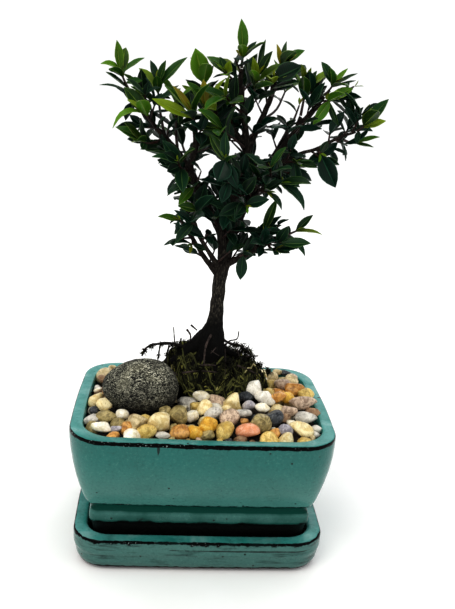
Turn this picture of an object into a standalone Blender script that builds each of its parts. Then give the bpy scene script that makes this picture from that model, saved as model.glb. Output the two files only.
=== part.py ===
"""Brush cherry bonsai in a glazed pot on its tray, modelled at real size.

The frame's origin is the middle of the tray's foot, +X is to the right, +Y away from the
viewer and +Z up. Lengths below are millimetres, and every mesh is scaled to metres when made.
"""
import math
import random
from collections import namedtuple

import bmesh
import bpy
from mathutils import Matrix, Vector
from mathutils.bvhtree import BVHTree

MM = 0.001
GAP = 0.3
SHARP_ANGLE = 35.0
CORNER_SHRINK = 0.55
BODY_SHRINK = 1.9
CORNER_STEPS = 4
LEAST_CORNER = 4.0

# Pot: rim outline, then the profile as insets from that outline.
RIM_X = 77.5
RIM_Y = 60.5
RIM_CORNER = 23.5
RIM_BOW = 0.7
RIM_TOP = 85.5
RIM_EDGE = 84.0
LIP_WIDTH = 8.0
BODY_LOW = 41.0
BODY_TAPER = 11.5
BODY_CURVE = 2.2
BODY_LEVELS = (48.0, 58.0)
WALL_LEVEL = 60.0
GROOVE_LOW = 34.2
GROOVE_INSET = 15.0
FOOT_BAND_INSET = 12.6
CLAY_TOP = 26.8
CLAY_INSET = 13.8
FOOT_INSET = 17.0
FOOT_LOW = 6.3
FOOT_HEIGHT = 6.0
FOOT_RING = 8.0
POT_FLOOR = 18.0
DRAIN_X = 32.0
DRAIN_RADIUS = 6.0
SCREEN_HALF = 11.0
MESH_PLACE = 4.5
MESH_HALF = 3.5
FOOT_ARCH_X = 36.0
FOOT_ARCH_Y = 22.0

# Tray under the pot.
TRAY_X = 74.5
TRAY_Y = 57.5
TRAY_CORNER = 18.6
TRAY_TOP = 21.3
TRAY_WALL = 8.5
TRAY_FLOOR = 6.0
TRAY_FOOT = 1.5

# Ground in the pot: level bed, mound round the trunk and the moss on it.
SOIL_LEVEL = 75.0
SOIL_LOW = 19.5
BED_EDGE = 79.0
BED_TOP = 83.0
BED_SLOPE = 20.0
MOUND_X = 5.0
MOUND_Y = 20.0
MOUND_RISE = 29.0
MOUND_REACH = (40.0, 36.0, 29.0, 33.0, 35.0, 25.0, 22.0, 28.0)
MOUND_STEPS = 20
MOUND_SHARES = (0.88, 0.74, 0.56, 0.36, 0.13)
SHOULDER_PLACE = (-16.0, 13.0)
SHOULDER_RISE = 12.0
SHOULDER_SPREAD = 9.0
MOSS_ROOM = 0.8
MOSS_THICK = 6.0
MOSS_RELIEF = 1.1
WELL_RADIUS = 7.0
WELL_LOW = 62.0

# Granite egg.
STONE_CENTRE = (-38.4, -7.0, 95.5)
STONE_HALF = (23.2, 19.2, 17.7)
STONE_BLUNT = 0.12

# Pebbles.
PEBBLE_SEED = 11
PEBBLE_TRIES = 2600
PEBBLE_SIZES = (5.4, 8.4)
PEBBLE_SIDES = 5

# Trunk and surface roots.
TRUNK_X = 3.0
TRUNK_Y = 15.0
# The flare's shoulder root, as the wood runs are given.
FLARE_ROOT = [(4, 129, 14, 4.0), (-1.5, 121, 14, 5.0), (-8, 115.5, 13.5, 4.6), (-14, 110, 13, 3.8),
              (-20, 104, 12, 2.6)]
ROOT_SEED = 5
ROOT_TURNS = (184, 140, 216, 252, 288, 326, 8, 52, 98)
ROOT_REACH = (25, 23, 16, 13, 14, 20, 34, 26, 22)

# Leaves.
LEAF_THICK = 1.2
ROOT_SINK = 0.6
# The leaves are old up to this height, and grow younger over the rise above it.
OLD_LEAVES = 200.0
YOUNG_RISE = 65.0
# Tries in which a leaf keeps off its own stem's leaves, and all its tries.
HAND_TRIES = (12, 30)
RULE_TRIES = (40, 60)
LEAF_RANKS = 8
LEAF_CLEAR = 0.45
OWN_ROOM = 0.25
TWIG_RADIUS = 0.95

# The eye that the crown's places were read from, and the upright plane through the trunk.
EYE = Vector((-25.6, -431.9, 276.8))
TRUNK_PLANE = 14.0

Blade = namedtuple("Blade", "root tip face width bulge age")
Obstacle = namedtuple("Obstacle", "centre radius tree owner")


def seen_at(x, z, y):
    """A place read off the trunk's plane, moved along the line of sight to its own depth."""
    pull = (y - EYE.y) / (TRUNK_PLANE - EYE.y)
    return Vector((EYE.x + (x - EYE.x) * pull, y, EYE.z + (z - EYE.z) * pull))


def read_off(point):
    """The place on the trunk's plane where the eye sees a point."""
    pull = (TRUNK_PLANE - EYE.y) / (point.y - EYE.y)
    return EYE.x + (point.x - EYE.x) * pull, EYE.z + (point.z - EYE.z) * pull


# Wood runs, each a list of (x, z, depth y, radius) as the eye sees them on the trunk's plane.
WOOD = {
    "trunk": [(3, 64, 15, 5.0), (2.5, 98, 15, 6.6), (3, 110, 15, 9.2), (3.8, 118, 15, 9.4),
              (4.8, 125, 15, 7.8), (5.8, 131, 15, 5.5), (6.4, 139, 15, 4.5), (7, 157, 15, 4.2),
              (8.6, 171, 15, 4.7)],
    "centre": [(8, 166, 15, 4.2), (12, 185, 17, 3.5), (15, 200, 19, 3.1), (18, 219, 21, 2.7),
               (18, 240, 22, 2.3), (15, 260, 22, 2.0), (12, 275, 21, 1.6), (12, 285, 20, 1.4)],
    "left_up": [(8.5, 172, 15, 3.1), (6, 189, 13, 2.7), (0, 200, 13, 2.4), (-8, 213, 14, 2.2),
                (-15, 226, 15, 2.0), (-22, 236, 16, 1.9), (-30, 244, 17, 1.7), (-40, 254, 18, 1.5),
                (-48, 264, 18, 1.3)],
    "right": [(13, 190, 18, 2.8), (22, 212, 20, 2.5), (30, 226, 21, 2.3), (38, 240, 22, 2.1),
              (46, 252, 22, 1.9), (55, 264, 22, 1.7), (61, 273, 22, 1.4)],
    "right_arm": [(30, 226, 21, 2.0), (38, 233, 18, 1.9), (50, 239.5, 15, 1.8), (60, 243, 13, 1.7),
                  (72, 250, 13, 1.5), (82, 254, 13, 1.3)],
    "right_low": [(8, 168, 15, 2.6), (14, 172, 11, 2.2), (24, 178, 8, 2.0), (35, 185, 5, 1.7),
                  (44, 189, 3, 1.4)],
    "left_low": [(6, 163, 15, 2.2), (-4, 175, 10, 1.5), (-10, 184, 6, 1.3), (-15, 190, 4, 1.1)],
    "left_fork": [(7, 167, 15, 2.1), (1, 175, 7, 1.5), (-7, 187, 1, 1.3), (-10, 195, -1, 1.1)],
    "front": [(13, 190, 17, 2.5), (13, 202, 6, 2.1), (12, 212, -6, 1.8), (8, 224, -14, 1.5)],
    "front_right": [(18, 208, 19, 2.3), (26, 214, 8, 1.9), (32, 220, -2, 1.6)],
    "back_left": [(12, 186, 17, 2.7), (4, 200, 32, 2.2), (-8, 216, 44, 1.8), (-16, 232, 52, 1.5)],
    "back_right": [(18, 215, 21, 2.6), (28, 226, 36, 2.2), (36, 240, 44, 1.8), (42, 253, 50, 1.5)],
    "inner_left": [(-15, 226, 15, 2.1), (-12, 240, 10, 1.8), (-13, 251, 6, 1.5)],
    "upper_left": [(18, 240, 22, 2.2), (8, 252, 24, 1.9), (-4, 262, 25, 1.6), (-9, 267, 24, 1.4)],
    "upper_right": [(18, 238, 22, 2.2), (25, 256, 26, 1.9), (30, 270, 28, 1.6), (32, 280, 28, 1.4)],
}

# Leafy stems. Each has the wood run and the point of it that it grows from, its own points
# (x, z, depth y), the number of leaf pairs that follow the rule, and the leaves placed by hand:
# (place along the twig, tip x, tip z, depth from the root to the tip, width, turn, bulge, age).
# A turn of 0 shows the blade edge on from the front, and 90 shows its face.
STEMS = {
    "left_tip": ("left_up", 8, [(-53, 272, 17), (-57, 280, 16)], 1,
                 [(1.0, -59, 296, -2, 6, 55, 0.04, 0.8), (1.0, -68, 282.5, -3, 5.5, 30, 0.22, 0.8),
                  (1.0, -43, 287.5, 4, 5, 20, 0.08, 0.6), (0.5, -65, 278.5, -6, 5.5, 25, 0.05, 0.3),
                  (0.15, -68.5, 271, -4, 4.5, 5, 0.14, 0.2), (0.8, -44, 275, 4, 5.5, 40, 0.1, 0.5)]),
    "left_back": ("left_up", 7, [(-42, 262, 26), (-44, 269, 30)], 3,
                  [(0.9, -42.5, 279, -3, 6, 60, 0.05, 0.6)]),
    "left_crest": ("left_up", 6, [(-33, 256, 23), (-35, 268, 26), (-35.5, 275, 26)], 2,
                   [(1.0, -40, 286.5, 2, 5.5, 55, 0.04, 0.2), (1.0, -31.2, 287, -4, 5, 45, 0.03, 0.5),
                    (0.95, -19, 289.5, -2, 6.5, 60, 0.08, 0.5)]),
    "left_arch": ("left_up", 6, [(-36, 249, 10), (-41, 256, 5), (-43, 258.5, 3)], 1,
                  [(1.0, -52.5, 264, -3, 6, 35, 0.06, 0.9), (0.9, -60.5, 247, -5, 6, 30, 0.34, 0.8),
                   (0.3, -30, 256, -7, 6, 60, 0.1, 0.1)]),
    "left_edge": ("left_up", 6, [(-37, 240.5, 9), (-44, 241, 5)], 2,
                  [(1.0, -54, 251.5, -2, 5.5, 45, 0.08, 0.7), (0.9, -43, 236.2, -3, 4.5, 40, 0.1, 0.3)]),
    "left_inner": ("inner_left", 2, [(-14, 256, 3.5), (-15, 260, 2)], 2,
                   [(0.5, -38.5, 265.5, -5, 6.5, 60, 0.04, 0.9), (1.0, -27, 273.5, -2, 5.5, 55, 0.05, 1.0),
                    (0.4, 1, 250.5, -5, 5.5, 60, 0.06, 0.6)]),
    "left_veil": ("left_up", 5, [(-24, 246, 27), (-24, 256, 33), (-24, 263, 35)], 3, []),
    "left_front": ("left_up", 4, [(-20, 227, 2), (-22, 231, -6)], 2,
                   [(1.0, -30.5, 235.5, -5, 6.5, 65, 0.06, 0.1), (0.7, -28, 224.5, -4, 7, 65, 0.06, 0.1)]),
    "left_curl": ("left_up", 3, [(-11, 216, 7), (-14, 218.5, 3)], 1,
                  [(1.0, -27.5, 210, -5, 5.5, 40, 0.24, 0.2), (0.6, -20.5, 205, -3, 6, 55, 0.16, 0.7)]),
    "left_rear": ("left_up", 3, [(-14, 220, 24), (-22, 228, 31)], 3, []),
    "tip_twin": ("upper_left", 3, [(-10, 271.5, 22), (-9, 276, 20)], 1,
                 [(1.0, -15, 294.5, -3, 11, 75, 0.03, 0.8), (0.9, -17.6, 289.5, 4, 4.5, 10, 0.05, 0.2),
                  (1.0, -4, 286, 3, 5.5, 50, 0.06, 0.4)]),
    "gold_pair": ("upper_left", 2, [(-7, 259, 15), (-8, 263, 11)], 1,
                  [(1.0, -9.5, 278, -2, 6, 70, 0.04, 1.0), (1.0, 3.5, 279.5, -2, 4.5, 30, 0.06, 0.9),
                   (0.6, 6, 268, -6, 7, 60, 0.08, 0.1)]),
    "upper_rear": ("upper_left", 1, [(-2, 255, 34), (-8, 259, 41)], 3, []),
    "apex": ("centre", 7, [(12, 289, 19), (12.5, 293, 18)], 1,
             [(1.0, 10, 312, -3, 7, 65, 0.03, 0.7), (0.8, 8, 295, -4, 4.5, 50, 0.05, 1.0),
              (1.0, 19.5, 300.5, 5, 4.5, 30, 0.05, 0.2)]),
    "apex_right": ("centre", 5, [(20, 273, 17), (22.5, 283, 14)], 2,
                   [(1.0, 24.5, 302, 4, 5, 25, 0.04, 0.3), (1.0, 29, 296, -3, 6, 50, 0.1, 0.4),
                    (0.8, 18, 292, -3, 5.5, 60, 0.04, 0.9)]),
    "apex_left": ("centre", 6, [(6, 280, 13), (3, 282.5, 10)], 1,
                  [(1.0, -1, 290.8, 1, 5.5, 60, 0.04, 0.4), (0.9, 5, 289, -3, 5.5, 60, 0.04, 0.9),
                   (1.0, -6.5, 289, -2, 3, 20, 0.12, 0.6)]),
    "apex_rear": ("centre", 5, [(14, 268, 34), (14, 276, 41), (14, 281, 43)], 3, []),
    "crown_front": ("centre", 5, [(8, 265, 9), (4, 269, 2)], 3, []),
    "crown_middle": ("centre", 4, [(10, 246, 8), (3, 250, -1)], 3, []),
    "crown_rear": ("centre", 4, [(12, 248, 36), (8, 256, 46)], 3, []),
    "low_rear": ("centre", 1, [(18, 194, 30), (19, 203, 38)], 3, []),
    "gilt_top": ("upper_right", 3, [(34, 286, 26), (35.5, 290, 24)], 1,
                 [(1.0, 47.5, 297.5, -3, 6.5, 50, 0.08, 0.6), (1.0, 36.5, 301.8, 4, 4.5, 40, 0.03, 0.4),
                  (0.9, 31, 300, -3, 4.5, 50, 0.03, 1.0), (1.0, 43, 295, -8, 5.5, 50, 0.04, 1.0)]),
    "dark_fan": ("upper_right", 2, [(30, 277, 15), (30.5, 281, 12)], 2,
                 [(1.0, 46.5, 289, -3, 12, 70, 0.08, 0.1)]),
    "upper_back": ("upper_right", 1, [(34, 264, 38), (38, 274, 44)], 3, []),
    "right_tip": ("right", 6, [(64, 277, 21), (66, 280, 19.5)], 1,
                  [(1.0, 57.5, 292, -2, 7, 60, 0.05, 0.3), (1.0, 79.5, 287, -2, 4.5, 30, 0.05, 0.3),
                   (1.0, 79, 283, -6, 4, 25, 0.03, 0.2), (0.9, 73.5, 289.5, 3, 4, 35, 0.06, 0.8),
                   (0.6, 65.5, 271, -5, 4, 60, 0.05, 0.9)]),
    "new_growth": ("right", 4, [(49, 264, 24), (49.5, 274, 24), (50, 279, 24)], 2,
                   [(1.0, 46, 290, -3, 4, 60, 0.04, 0.9), (1.0, 52, 288.5, -3, 4, 60, 0.04, 0.9),
                    (0.9, 55.5, 287, 3, 4.5, 60, 0.05, 0.3)]),
    "right_drop": ("right", 5, [(60, 268, 15), (65.5, 271.5, 12)], 1,
                   [(1.0, 56, 256.5, -3, 6.5, 75, 0.06, 0.7), (1.0, 71.5, 257, -1, 4.5, 40, 0.08, 0.3)]),
    "right_hoop": ("right", 5, [(61, 268, 29), (72, 277.5, 30), (78, 279.5, 29)], 0,
                   [(0.55, 78, 263.5, -2, 4, 40, 0.08, 0.2), (1.0, 81, 263, -2, 5, 45, 0.26, 0.2)]),
    "arm_tip": ("right_arm", 5, [(85, 256, 12), (87, 258.5, 11)], 1,
                [(1.0, 99.5, 274, -2, 7, 60, 0.05, 0.4), (0.9, 88.5, 270.5, -4, 4.5, 40, 0.05, 0.9),
                 (1.0, 99.5, 261.5, -4, 5.5, 50, 0.05, 0.9), (0.4, 78, 264, 2, 5.5, 50, 0.06, 0.1),
                 (0.6, 84, 247, -3, 4.5, 40, 0.05, 0.1)]),
    "arm_under": ("right_arm", 4, [(78, 248, 17), (83, 247.5, 18)], 0,
                  [(1.0, 97, 252, -3, 4.5, 35, 0.07, 0.7), (1.0, 94, 245.8, -2, 4, 35, 0.03, 0.6)]),
    "arm_leaf": ("right_arm", 3, [(62, 240.5, 10)], 0,
                 [(1.0, 73.5, 220.5, -3, 11, 75, 0.16, 0.0), (0.9, 66, 248, 3, 4.5, 40, 0.05, 0.2)]),
    "arm_inner": ("right_arm", 1, [(44, 234.3, 12), (47.5, 234.6, 9)], 1,
                  [(1.0, 50.5, 219.5, -2, 6.5, 80, 0.08, 0.1), (1.0, 59, 235.5, -2, 5.5, 5, 0.06, 0.3)]),
    "long_arch": ("front_right", 1, [(34, 217.5, 4), (40, 221.5, -4)], 1,
                  [(1.0, 55.8, 205.5, -3, 5.5, 45, 0.26, 0.1)]),
    "short_arch": ("front_right", 1, [(28, 216.5, -3), (32, 215.5, -7)], 1,
                   [(1.0, 42, 205.3, -2, 4.5, 40, 0.22, 0.2)]),
    "right_front": ("front_right", 2, [(34, 226, -8), (33, 230, -12)], 3, []),
    "right_rear": ("right", 2, [(36, 223, 31), (40, 221, 38)], 3, []),
    "back_left_tip": ("back_left", 3, [(-20, 241, 58), (-22, 249, 61)], 3, []),
    "back_left_mid": ("back_left", 2, [(-17, 221, 52), (-22, 226, 56)], 3, []),
    "back_left_low": ("back_left", 1, [(-5, 205, 41), (-11, 206, 47)], 3, []),
    "back_right_tip": ("back_right", 3, [(45, 260, 54), (47, 267, 56)], 3, []),
    "back_right_mid": ("back_right", 1, [(22, 232, 44), (19, 238, 54)], 3, []),
    "low_upright": ("right_low", 2, [(29, 186, 4), (32, 191, 2)], 1,
                    [(1.0, 38.8, 212.5, -2, 5.5, 60, 0.05, 0.5), (1.0, 44.5, 192, -3, 5.5, 50, 0.2, 0.1)]),
    "low_tip": ("right_low", 4, [(48, 191, 2), (52, 193, 1)], 0,
                [(1.0, 61.5, 203.5, -1, 5, 50, 0.05, 0.3), (1.0, 68.5, 191.5, -2, 4, 25, 0.12, 0.9),
                 (0.4, 59, 177.5, -4, 4.5, 30, 0.16, 0.2), (0.3, 47.5, 196, 5, 4.5, 60, 0.05, 0.1)]),
    "low_spread": ("right_low", 3, [(37, 181.5, -2), (40, 181, -5)], 1,
                   [(1.0, 49.5, 179, -3, 5, 30, 0.1, 0.2)]),
    "low_back": ("right_low", 2, [(26, 184, 19), (28, 190, 25)], 3, []),
    "low_hang": ("right_low", 1, [(19, 176, 5), (21, 177, 4)], 1,
                 [(1.0, 19.8, 160.5, 0, 7, 85, 0.06, 0.1)]),
    "left_low_tip": ("left_low", 3, [(-17.5, 194, 3), (-19, 196, 2)], 0,
                     [(1.0, -32.5, 197.5, -3, 5.5, 40, 0.1, 0.7), (0.5, -22, 187, -3, 4, 25, 0.08, 0.3),
                      (0.9, -17, 206, 4, 4.5, 50, 0.05, 0.2), (0.5, -10, 200, 4, 4.5, 50, 0.05, 0.2)]),
    "left_low_leaf": ("left_low", 2, [(-11, 181.5, 3)], 0,
                      [(1.0, -28.5, 179.8, -3, 5, 15, 0.16, 0.1), (1.0, -2, 178, -4, 4, 40, 0.08, 0.2)]),
    "fork_tip": ("left_fork", 3, [(-10.5, 199, -2), (-9, 203, -3)], 1,
                 [(1.0, -21, 204.5, -4, 6, 55, 0.14, 0.6)]),
    "front_tip": ("front", 3, [(7, 230, -17), (6, 234, -18.5)], 1,
                  [(1.0, 2, 220, -4, 11, 80, 0.14, 0.0), (1.0, 14.5, 216.5, -4, 7, 80, 0.1, 0.0),
                   (1.0, 5, 250, -2, 6, 60, 0.06, 0.2)]),
    "front_broad": ("front", 2, [(18, 209, -10), (20, 207, -13)], 2,
                    [(1.0, 34, 211.5, -4, 7, 70, 0.08, 0.1), (0.8, 4, 200, -4, 7, 70, 0.08, 0.1)]),
}

# Outline of the crown and the openings in it that show the sky, as the eye sees them on the
# trunk's plane. Leaves that follow the rule keep inside the one and off the others.
CROWN_OUTLINE = [
    (-66, 284), (-59, 295), (-43, 288), (-19, 290), (-14, 294), (-6, 289), (6, 291), (12, 310),
    (20, 302), (37, 302), (48, 298), (54, 288), (60, 292), (74, 289), (80, 284), (79, 276),
    (88, 272), (99, 274), (101, 261), (96, 251), (82, 246), (77, 232), (73, 220), (62, 236),
    (60, 213), (52, 208), (44, 206), (62, 203), (67, 192), (59, 178), (27, 174), (20, 161),
    (13, 172), (-4, 176), (-28, 180), (-15, 188), (-32, 196), (-22, 204), (-28, 210), (-24, 220),
    (-30, 226), (-44, 236), (-60, 247), (-52, 258), (-54, 264), (-50, 267), (-68, 271)]
SKY = [(15, 244, 4.5), (27, 241, 3.5), (39, 249, 3), (22, 258, 2.5), (31, 265, 3.5), (41, 262, 3),
       (48, 262, 2.5), (54, 246, 6), (63, 247, 4), (37, 273, 2), (15, 272, 1.5), (35, 205, 2.5),
       (24, 213, 3.5), (36, 215, 2.5), (-6, 194, 3), (-5, 228, 2.5), (-9, 222, 1.5), (-2, 172, 2.5),
       (-12, 184, 2), (-23, 240, 2), (-18, 240, 1.5), (54, 262, 1.5), (27, 199, 4),
       (25.5, 203, 5.5), (47, 207, 4.5), (-6, 183, 2.5), (2.5, 194, 3), (7.5, 185, 3.5), (9.5, 175, 3),
       (9, 241, 3), (35, 244, 3.5), (46, 269, 2.5), (21.5, 263, 2), (-6.5, 230.5, 2)]


def start_empty():
    for item in list(bpy.data.objects):
        bpy.data.objects.remove(item, do_unlink=True)


def make_material(name, colour, roughness):
    """A finish for one kind of piece. Nothing on the object is metal."""
    material = bpy.data.materials.new(name)
    material.use_nodes = True
    shader = material.node_tree.nodes["Principled BSDF"]
    shader.inputs["Base Color"].default_value = (*colour, 1.0)
    shader.inputs["Roughness"].default_value = roughness
    shader.inputs["Metallic"].default_value = 0.0
    return material


def make_object(name, verts, faces, material=None):
    mesh = bpy.data.meshes.new(name)
    mesh.from_pydata([tuple(v * MM for v in vert) for vert in verts], [], faces)
    mesh.validate()
    if material:
        mesh.materials.append(material)
    item = bpy.data.objects.new(name, mesh)
    bpy.context.scene.collection.objects.link(item)
    mesh.shade_smooth()
    mesh.set_sharp_from_angle(angle=math.radians(SHARP_ANGLE))
    return item


def apply_modifiers(item):
    """Keeps the shape that the modifiers give and clears the stack."""
    graph = bpy.context.evaluated_depsgraph_get()
    mesh = bpy.data.meshes.new_from_object(item.evaluated_get(graph))
    old = item.data
    item.modifiers.clear()
    item.data = mesh
    bpy.data.meshes.remove(old)
    mesh.name = item.name


def keep_outer_shell(item):
    """Fills hollows that fusing sealed and drops loose scraps."""
    work = bmesh.new()
    work.from_mesh(item.data)
    shells = []
    left = set(work.verts)
    while left:
        shell = {left.pop()}
        front = list(shell)
        while front:
            for edge in front.pop().link_edges:
                for vert in edge.verts:
                    if vert in left:
                        left.remove(vert)
                        shell.add(vert)
                        front.append(vert)
        shells.append(shell)
    biggest = max(shells, key=len)
    bmesh.ops.delete(work, geom=[vert for shell in shells if shell is not biggest for vert in shell])
    work.to_mesh(item.data)
    work.free()


def cut(item, cutters, solver="EXACT"):
    """Takes the cutters' shapes out of an object and removes them."""
    for cutter in cutters:
        cutter.hide_render = True
        cutter.display_type = "WIRE"
        change = item.modifiers.new("cut", "BOOLEAN")
        change.operation = "DIFFERENCE"
        change.solver = solver
        change.object = cutter
    apply_modifiers(item)
    keep_outer_shell(item)
    for cutter in cutters:
        bpy.data.objects.remove(cutter, do_unlink=True)


def fuse(base, others, solver="EXACT"):
    """Joins the others to an object with one union and removes them."""
    group = bpy.data.collections.new(base.name + "_parts")
    for other in others:
        for home in list(other.users_collection):
            home.objects.unlink(other)
        group.objects.link(other)
    bpy.context.scene.collection.children.link(group)
    change = base.modifiers.new("fuse", "BOOLEAN")
    change.operation = "UNION"
    change.operand_type = "COLLECTION"
    change.solver = solver
    change.collection = group
    apply_modifiers(base)
    keep_outer_shell(base)
    for other in others:
        bpy.data.objects.remove(other, do_unlink=True)
    bpy.data.collections.remove(group)


def rounded_outline(half_x, half_y, corner, bow):
    """Points round a rectangle with arc corners and sides that bow outwards."""
    points = []
    for number, (sign_x, sign_y) in enumerate(((1, 1), (-1, 1), (-1, -1), (1, -1))):
        centre_x = sign_x * (half_x - corner)
        centre_y = sign_y * (half_y - corner)
        for step in range(CORNER_STEPS + 1):
            angle = math.radians(90 * (number + step / CORNER_STEPS))
            points.append((centre_x + corner * math.cos(angle), centre_y + corner * math.sin(angle)))
        if sign_x == sign_y:
            points.append((0.0, sign_y * (half_y + bow)))
        else:
            points.append((sign_x * (half_x + bow), 0.0))
    return points


def rounded_ring(half_x, half_y, corner, bow, inset, z, shrink=CORNER_SHRINK):
    radius = max(corner - shrink * inset, LEAST_CORNER)
    outline = rounded_outline(half_x - inset, half_y - inset, radius, bow)
    return [(x, y, z) for x, y in outline]


def loft(rings, closed=False):
    """Faces between rings of equal count, with flat ends or closed into a loop."""
    count = len(rings[0])
    verts = [tuple(point) for ring in rings for point in ring]
    faces = []
    spans = len(rings) if closed else len(rings) - 1
    for level in range(spans):
        low = level * count
        high = (level + 1) % len(rings) * count
        for step in range(count):
            after = (step + 1) % count
            faces.append((low + step, low + after, high + after, high + step))
    if not closed:
        faces.append(tuple(reversed(range(count))))
        top = (len(rings) - 1) * count
        faces.append(tuple(range(top, top + count)))
    return verts, faces


def body_inset(z):
    """Inset of the pot's glazed body from the rim at a height."""
    fall = (RIM_EDGE - z) / (RIM_EDGE - BODY_LOW)
    return BODY_TAPER * max(fall, 0.0) ** BODY_CURVE


def wall_inset(z):
    """Inset of the pot's inner wall from the rim at a height."""
    if z >= BODY_LOW:
        return LIP_WIDTH + body_inset(z) * 0.95
    share = (BODY_LOW - z) / (BODY_LOW - POT_FLOOR)
    return LIP_WIDTH + BODY_TAPER * 0.95 + 3.5 * share


def pot_ring(inset, z):
    return rounded_ring(RIM_X, RIM_Y, RIM_CORNER, RIM_BOW, inset, z)


def outer_ring(inset, z):
    """A ring of the pot's outside, whose corners sharpen downwards."""
    return rounded_ring(RIM_X, RIM_Y, RIM_CORNER, RIM_BOW, inset, z, BODY_SHRINK)


def make_pot(material):
    outer = [(FOOT_INSET, FOOT_LOW), (CLAY_INSET, CLAY_TOP), (FOOT_BAND_INSET, CLAY_TOP + 1.0),
             (FOOT_BAND_INSET, GROOVE_LOW), (GROOVE_INSET, GROOVE_LOW + 1.2),
             (GROOVE_INSET, BODY_LOW - 1.4)]
    outer += [(body_inset(z), z) for z in (BODY_LOW, *BODY_LEVELS, RIM_EDGE)]
    outer += [(1.2, RIM_TOP)]
    inner = [(LIP_WIDTH - 1.4, RIM_TOP), (LIP_WIDTH - 0.2, RIM_TOP - 2.0)]
    inner += [(wall_inset(z), z) for z in (SOIL_LEVEL, WALL_LEVEL, BODY_LOW)]
    inner += [(wall_inset(POT_FLOOR + 3.0), POT_FLOOR + 3.0), (wall_inset(POT_FLOOR) + 3.0, POT_FLOOR)]
    rings = [outer_ring(inset, z) for inset, z in outer] + [pot_ring(inset, z) for inset, z in inner]
    pot = make_object("pot", *loft(rings), material)
    recess_low = pot_ring(FOOT_INSET + FOOT_RING, FOOT_LOW - 2.0)
    recess_high = pot_ring(FOOT_INSET + FOOT_RING + 1.0, FOOT_LOW + FOOT_HEIGHT)
    cutters = [make_object("recess", *loft([recess_low, recess_high]))]
    for half_x, half_y in ((FOOT_ARCH_X, RIM_Y + 5.0), (RIM_X + 5.0, FOOT_ARCH_Y)):
        low = [(x, y, FOOT_LOW - 2.0) for x, y in arch_plan(half_x, half_y, 2.0)]
        middle = [(x, y, FOOT_LOW + 3.0) for x, y in arch_plan(half_x, half_y, 1.0)]
        high = [(x, y, FOOT_LOW + FOOT_HEIGHT - 0.7) for x, y in arch_plan(half_x, half_y, -4.0)]
        cutters.append(make_object("arch", *loft([low, middle, high])))
    for side in (-1, 1):
        hole = [[(side * DRAIN_X + DRAIN_RADIUS * math.cos(math.tau * step / 16),
                  DRAIN_RADIUS * math.sin(math.tau * step / 16), z) for step in range(16)]
                for z in (FOOT_LOW, POT_FLOOR + 4.0)]
        cutters.append(make_object("drain", *loft(hole)))
    cut(pot, cutters)
    return pot


def arch_plan(half_x, half_y, spread):
    """Plan of a foot opening that narrows with its height along its shorter way."""
    if half_x < half_y:
        half_x += spread
    else:
        half_y += spread
    return [(half_x, half_y), (-half_x, half_y), (-half_x, -half_y), (half_x, -half_y)]


def tray_ring(inset, z):
    return rounded_ring(TRAY_X, TRAY_Y, TRAY_CORNER, RIM_BOW, inset, z)


def make_saucer(material):
    profile = [(7.5, 0.0), (6.8, TRAY_FOOT), (3.4, TRAY_FOOT + 0.6), (1.7, 5.5), (0.7, 11.5),
               (0.1, 13.0), (0.0, 20.0), (0.9, TRAY_TOP), (TRAY_WALL - 1.2, TRAY_TOP),
               (TRAY_WALL - 0.2, TRAY_TOP - 1.0), (TRAY_WALL + 0.6, 10.0),
               (TRAY_WALL + 2.2, TRAY_FLOOR)]
    return make_object("saucer", *loft([tray_ring(inset, z) for inset, z in profile]), material)


def mound_reach(angle):
    """Radius of the mound towards an angle, eased between the eight that are given."""
    turn = (angle / math.tau * len(MOUND_REACH)) % len(MOUND_REACH)
    low = int(turn)
    share = turn - low
    share = share * share * (3.0 - 2.0 * share)
    return MOUND_REACH[low] * (1.0 - share) + MOUND_REACH[(low + 1) % len(MOUND_REACH)] * share


def mound_share(x, y):
    """Distance from the mound's middle, 1 at its edge."""
    angle = math.atan2(y - MOUND_Y, x - MOUND_X)
    return math.hypot(x - MOUND_X, y - MOUND_Y) / mound_reach(angle)


def mound_distance(x, y):
    """How far outside the mound's edge a place is."""
    angle = math.atan2(y - MOUND_Y, x - MOUND_X)
    return math.hypot(x - MOUND_X, y - MOUND_Y) - mound_reach(angle)


def mound_height(share):
    """Height of the mound over its foot, full in the middle and none at its edge."""
    return MOUND_RISE * max(1.0 - share ** 2, 0.0) ** 0.65


def wall_distance(x, y):
    """How far a place in the pot is from its inner wall."""
    corner = RIM_CORNER - CORNER_SHRINK * LIP_WIDTH
    over_x = abs(x) - (RIM_X - LIP_WIDTH - corner)
    over_y = abs(y) - (RIM_Y - LIP_WIDTH - corner)
    return corner - math.hypot(max(over_x, 0.0), max(over_y, 0.0)) - min(max(over_x, over_y), 0.0)


def bed_height(x, y):
    """Height of the bed of grit, which rises a little from the wall towards the mound."""
    share = min(max(wall_distance(x, y) / BED_SLOPE, 0.0), 1.0)
    return BED_EDGE + (BED_TOP - BED_EDGE) * share


def shoulder_height(x, y):
    """Extra height of the tangle of roots and moss on the trunk's left."""
    away = math.dist((x, y), SHOULDER_PLACE) / SHOULDER_SPREAD
    return SHOULDER_RISE * math.exp(-0.5 * away * away)


def moss_top(x, y):
    relief = math.sin(0.55 * x + 1.3) * math.sin(0.5 * y + 0.4) + 0.6 * math.sin(1.1 * x - 0.8 * y)
    return BED_TOP + mound_height(mound_share(x, y)) + shoulder_height(x, y) + MOSS_RELIEF * relief


def mound_point(angle, share):
    reach = mound_reach(angle) * share
    return MOUND_X + reach * math.cos(angle), MOUND_Y + reach * math.sin(angle)


def hill_height(share):
    """Height of the soil under the moss."""
    return BED_TOP - MOSS_THICK + mound_height(share)


def mound_ring(share, z):
    angles = [math.tau * step / MOUND_STEPS for step in range(MOUND_STEPS)]
    return [(*mound_point(angle, share), z) for angle in angles]


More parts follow.
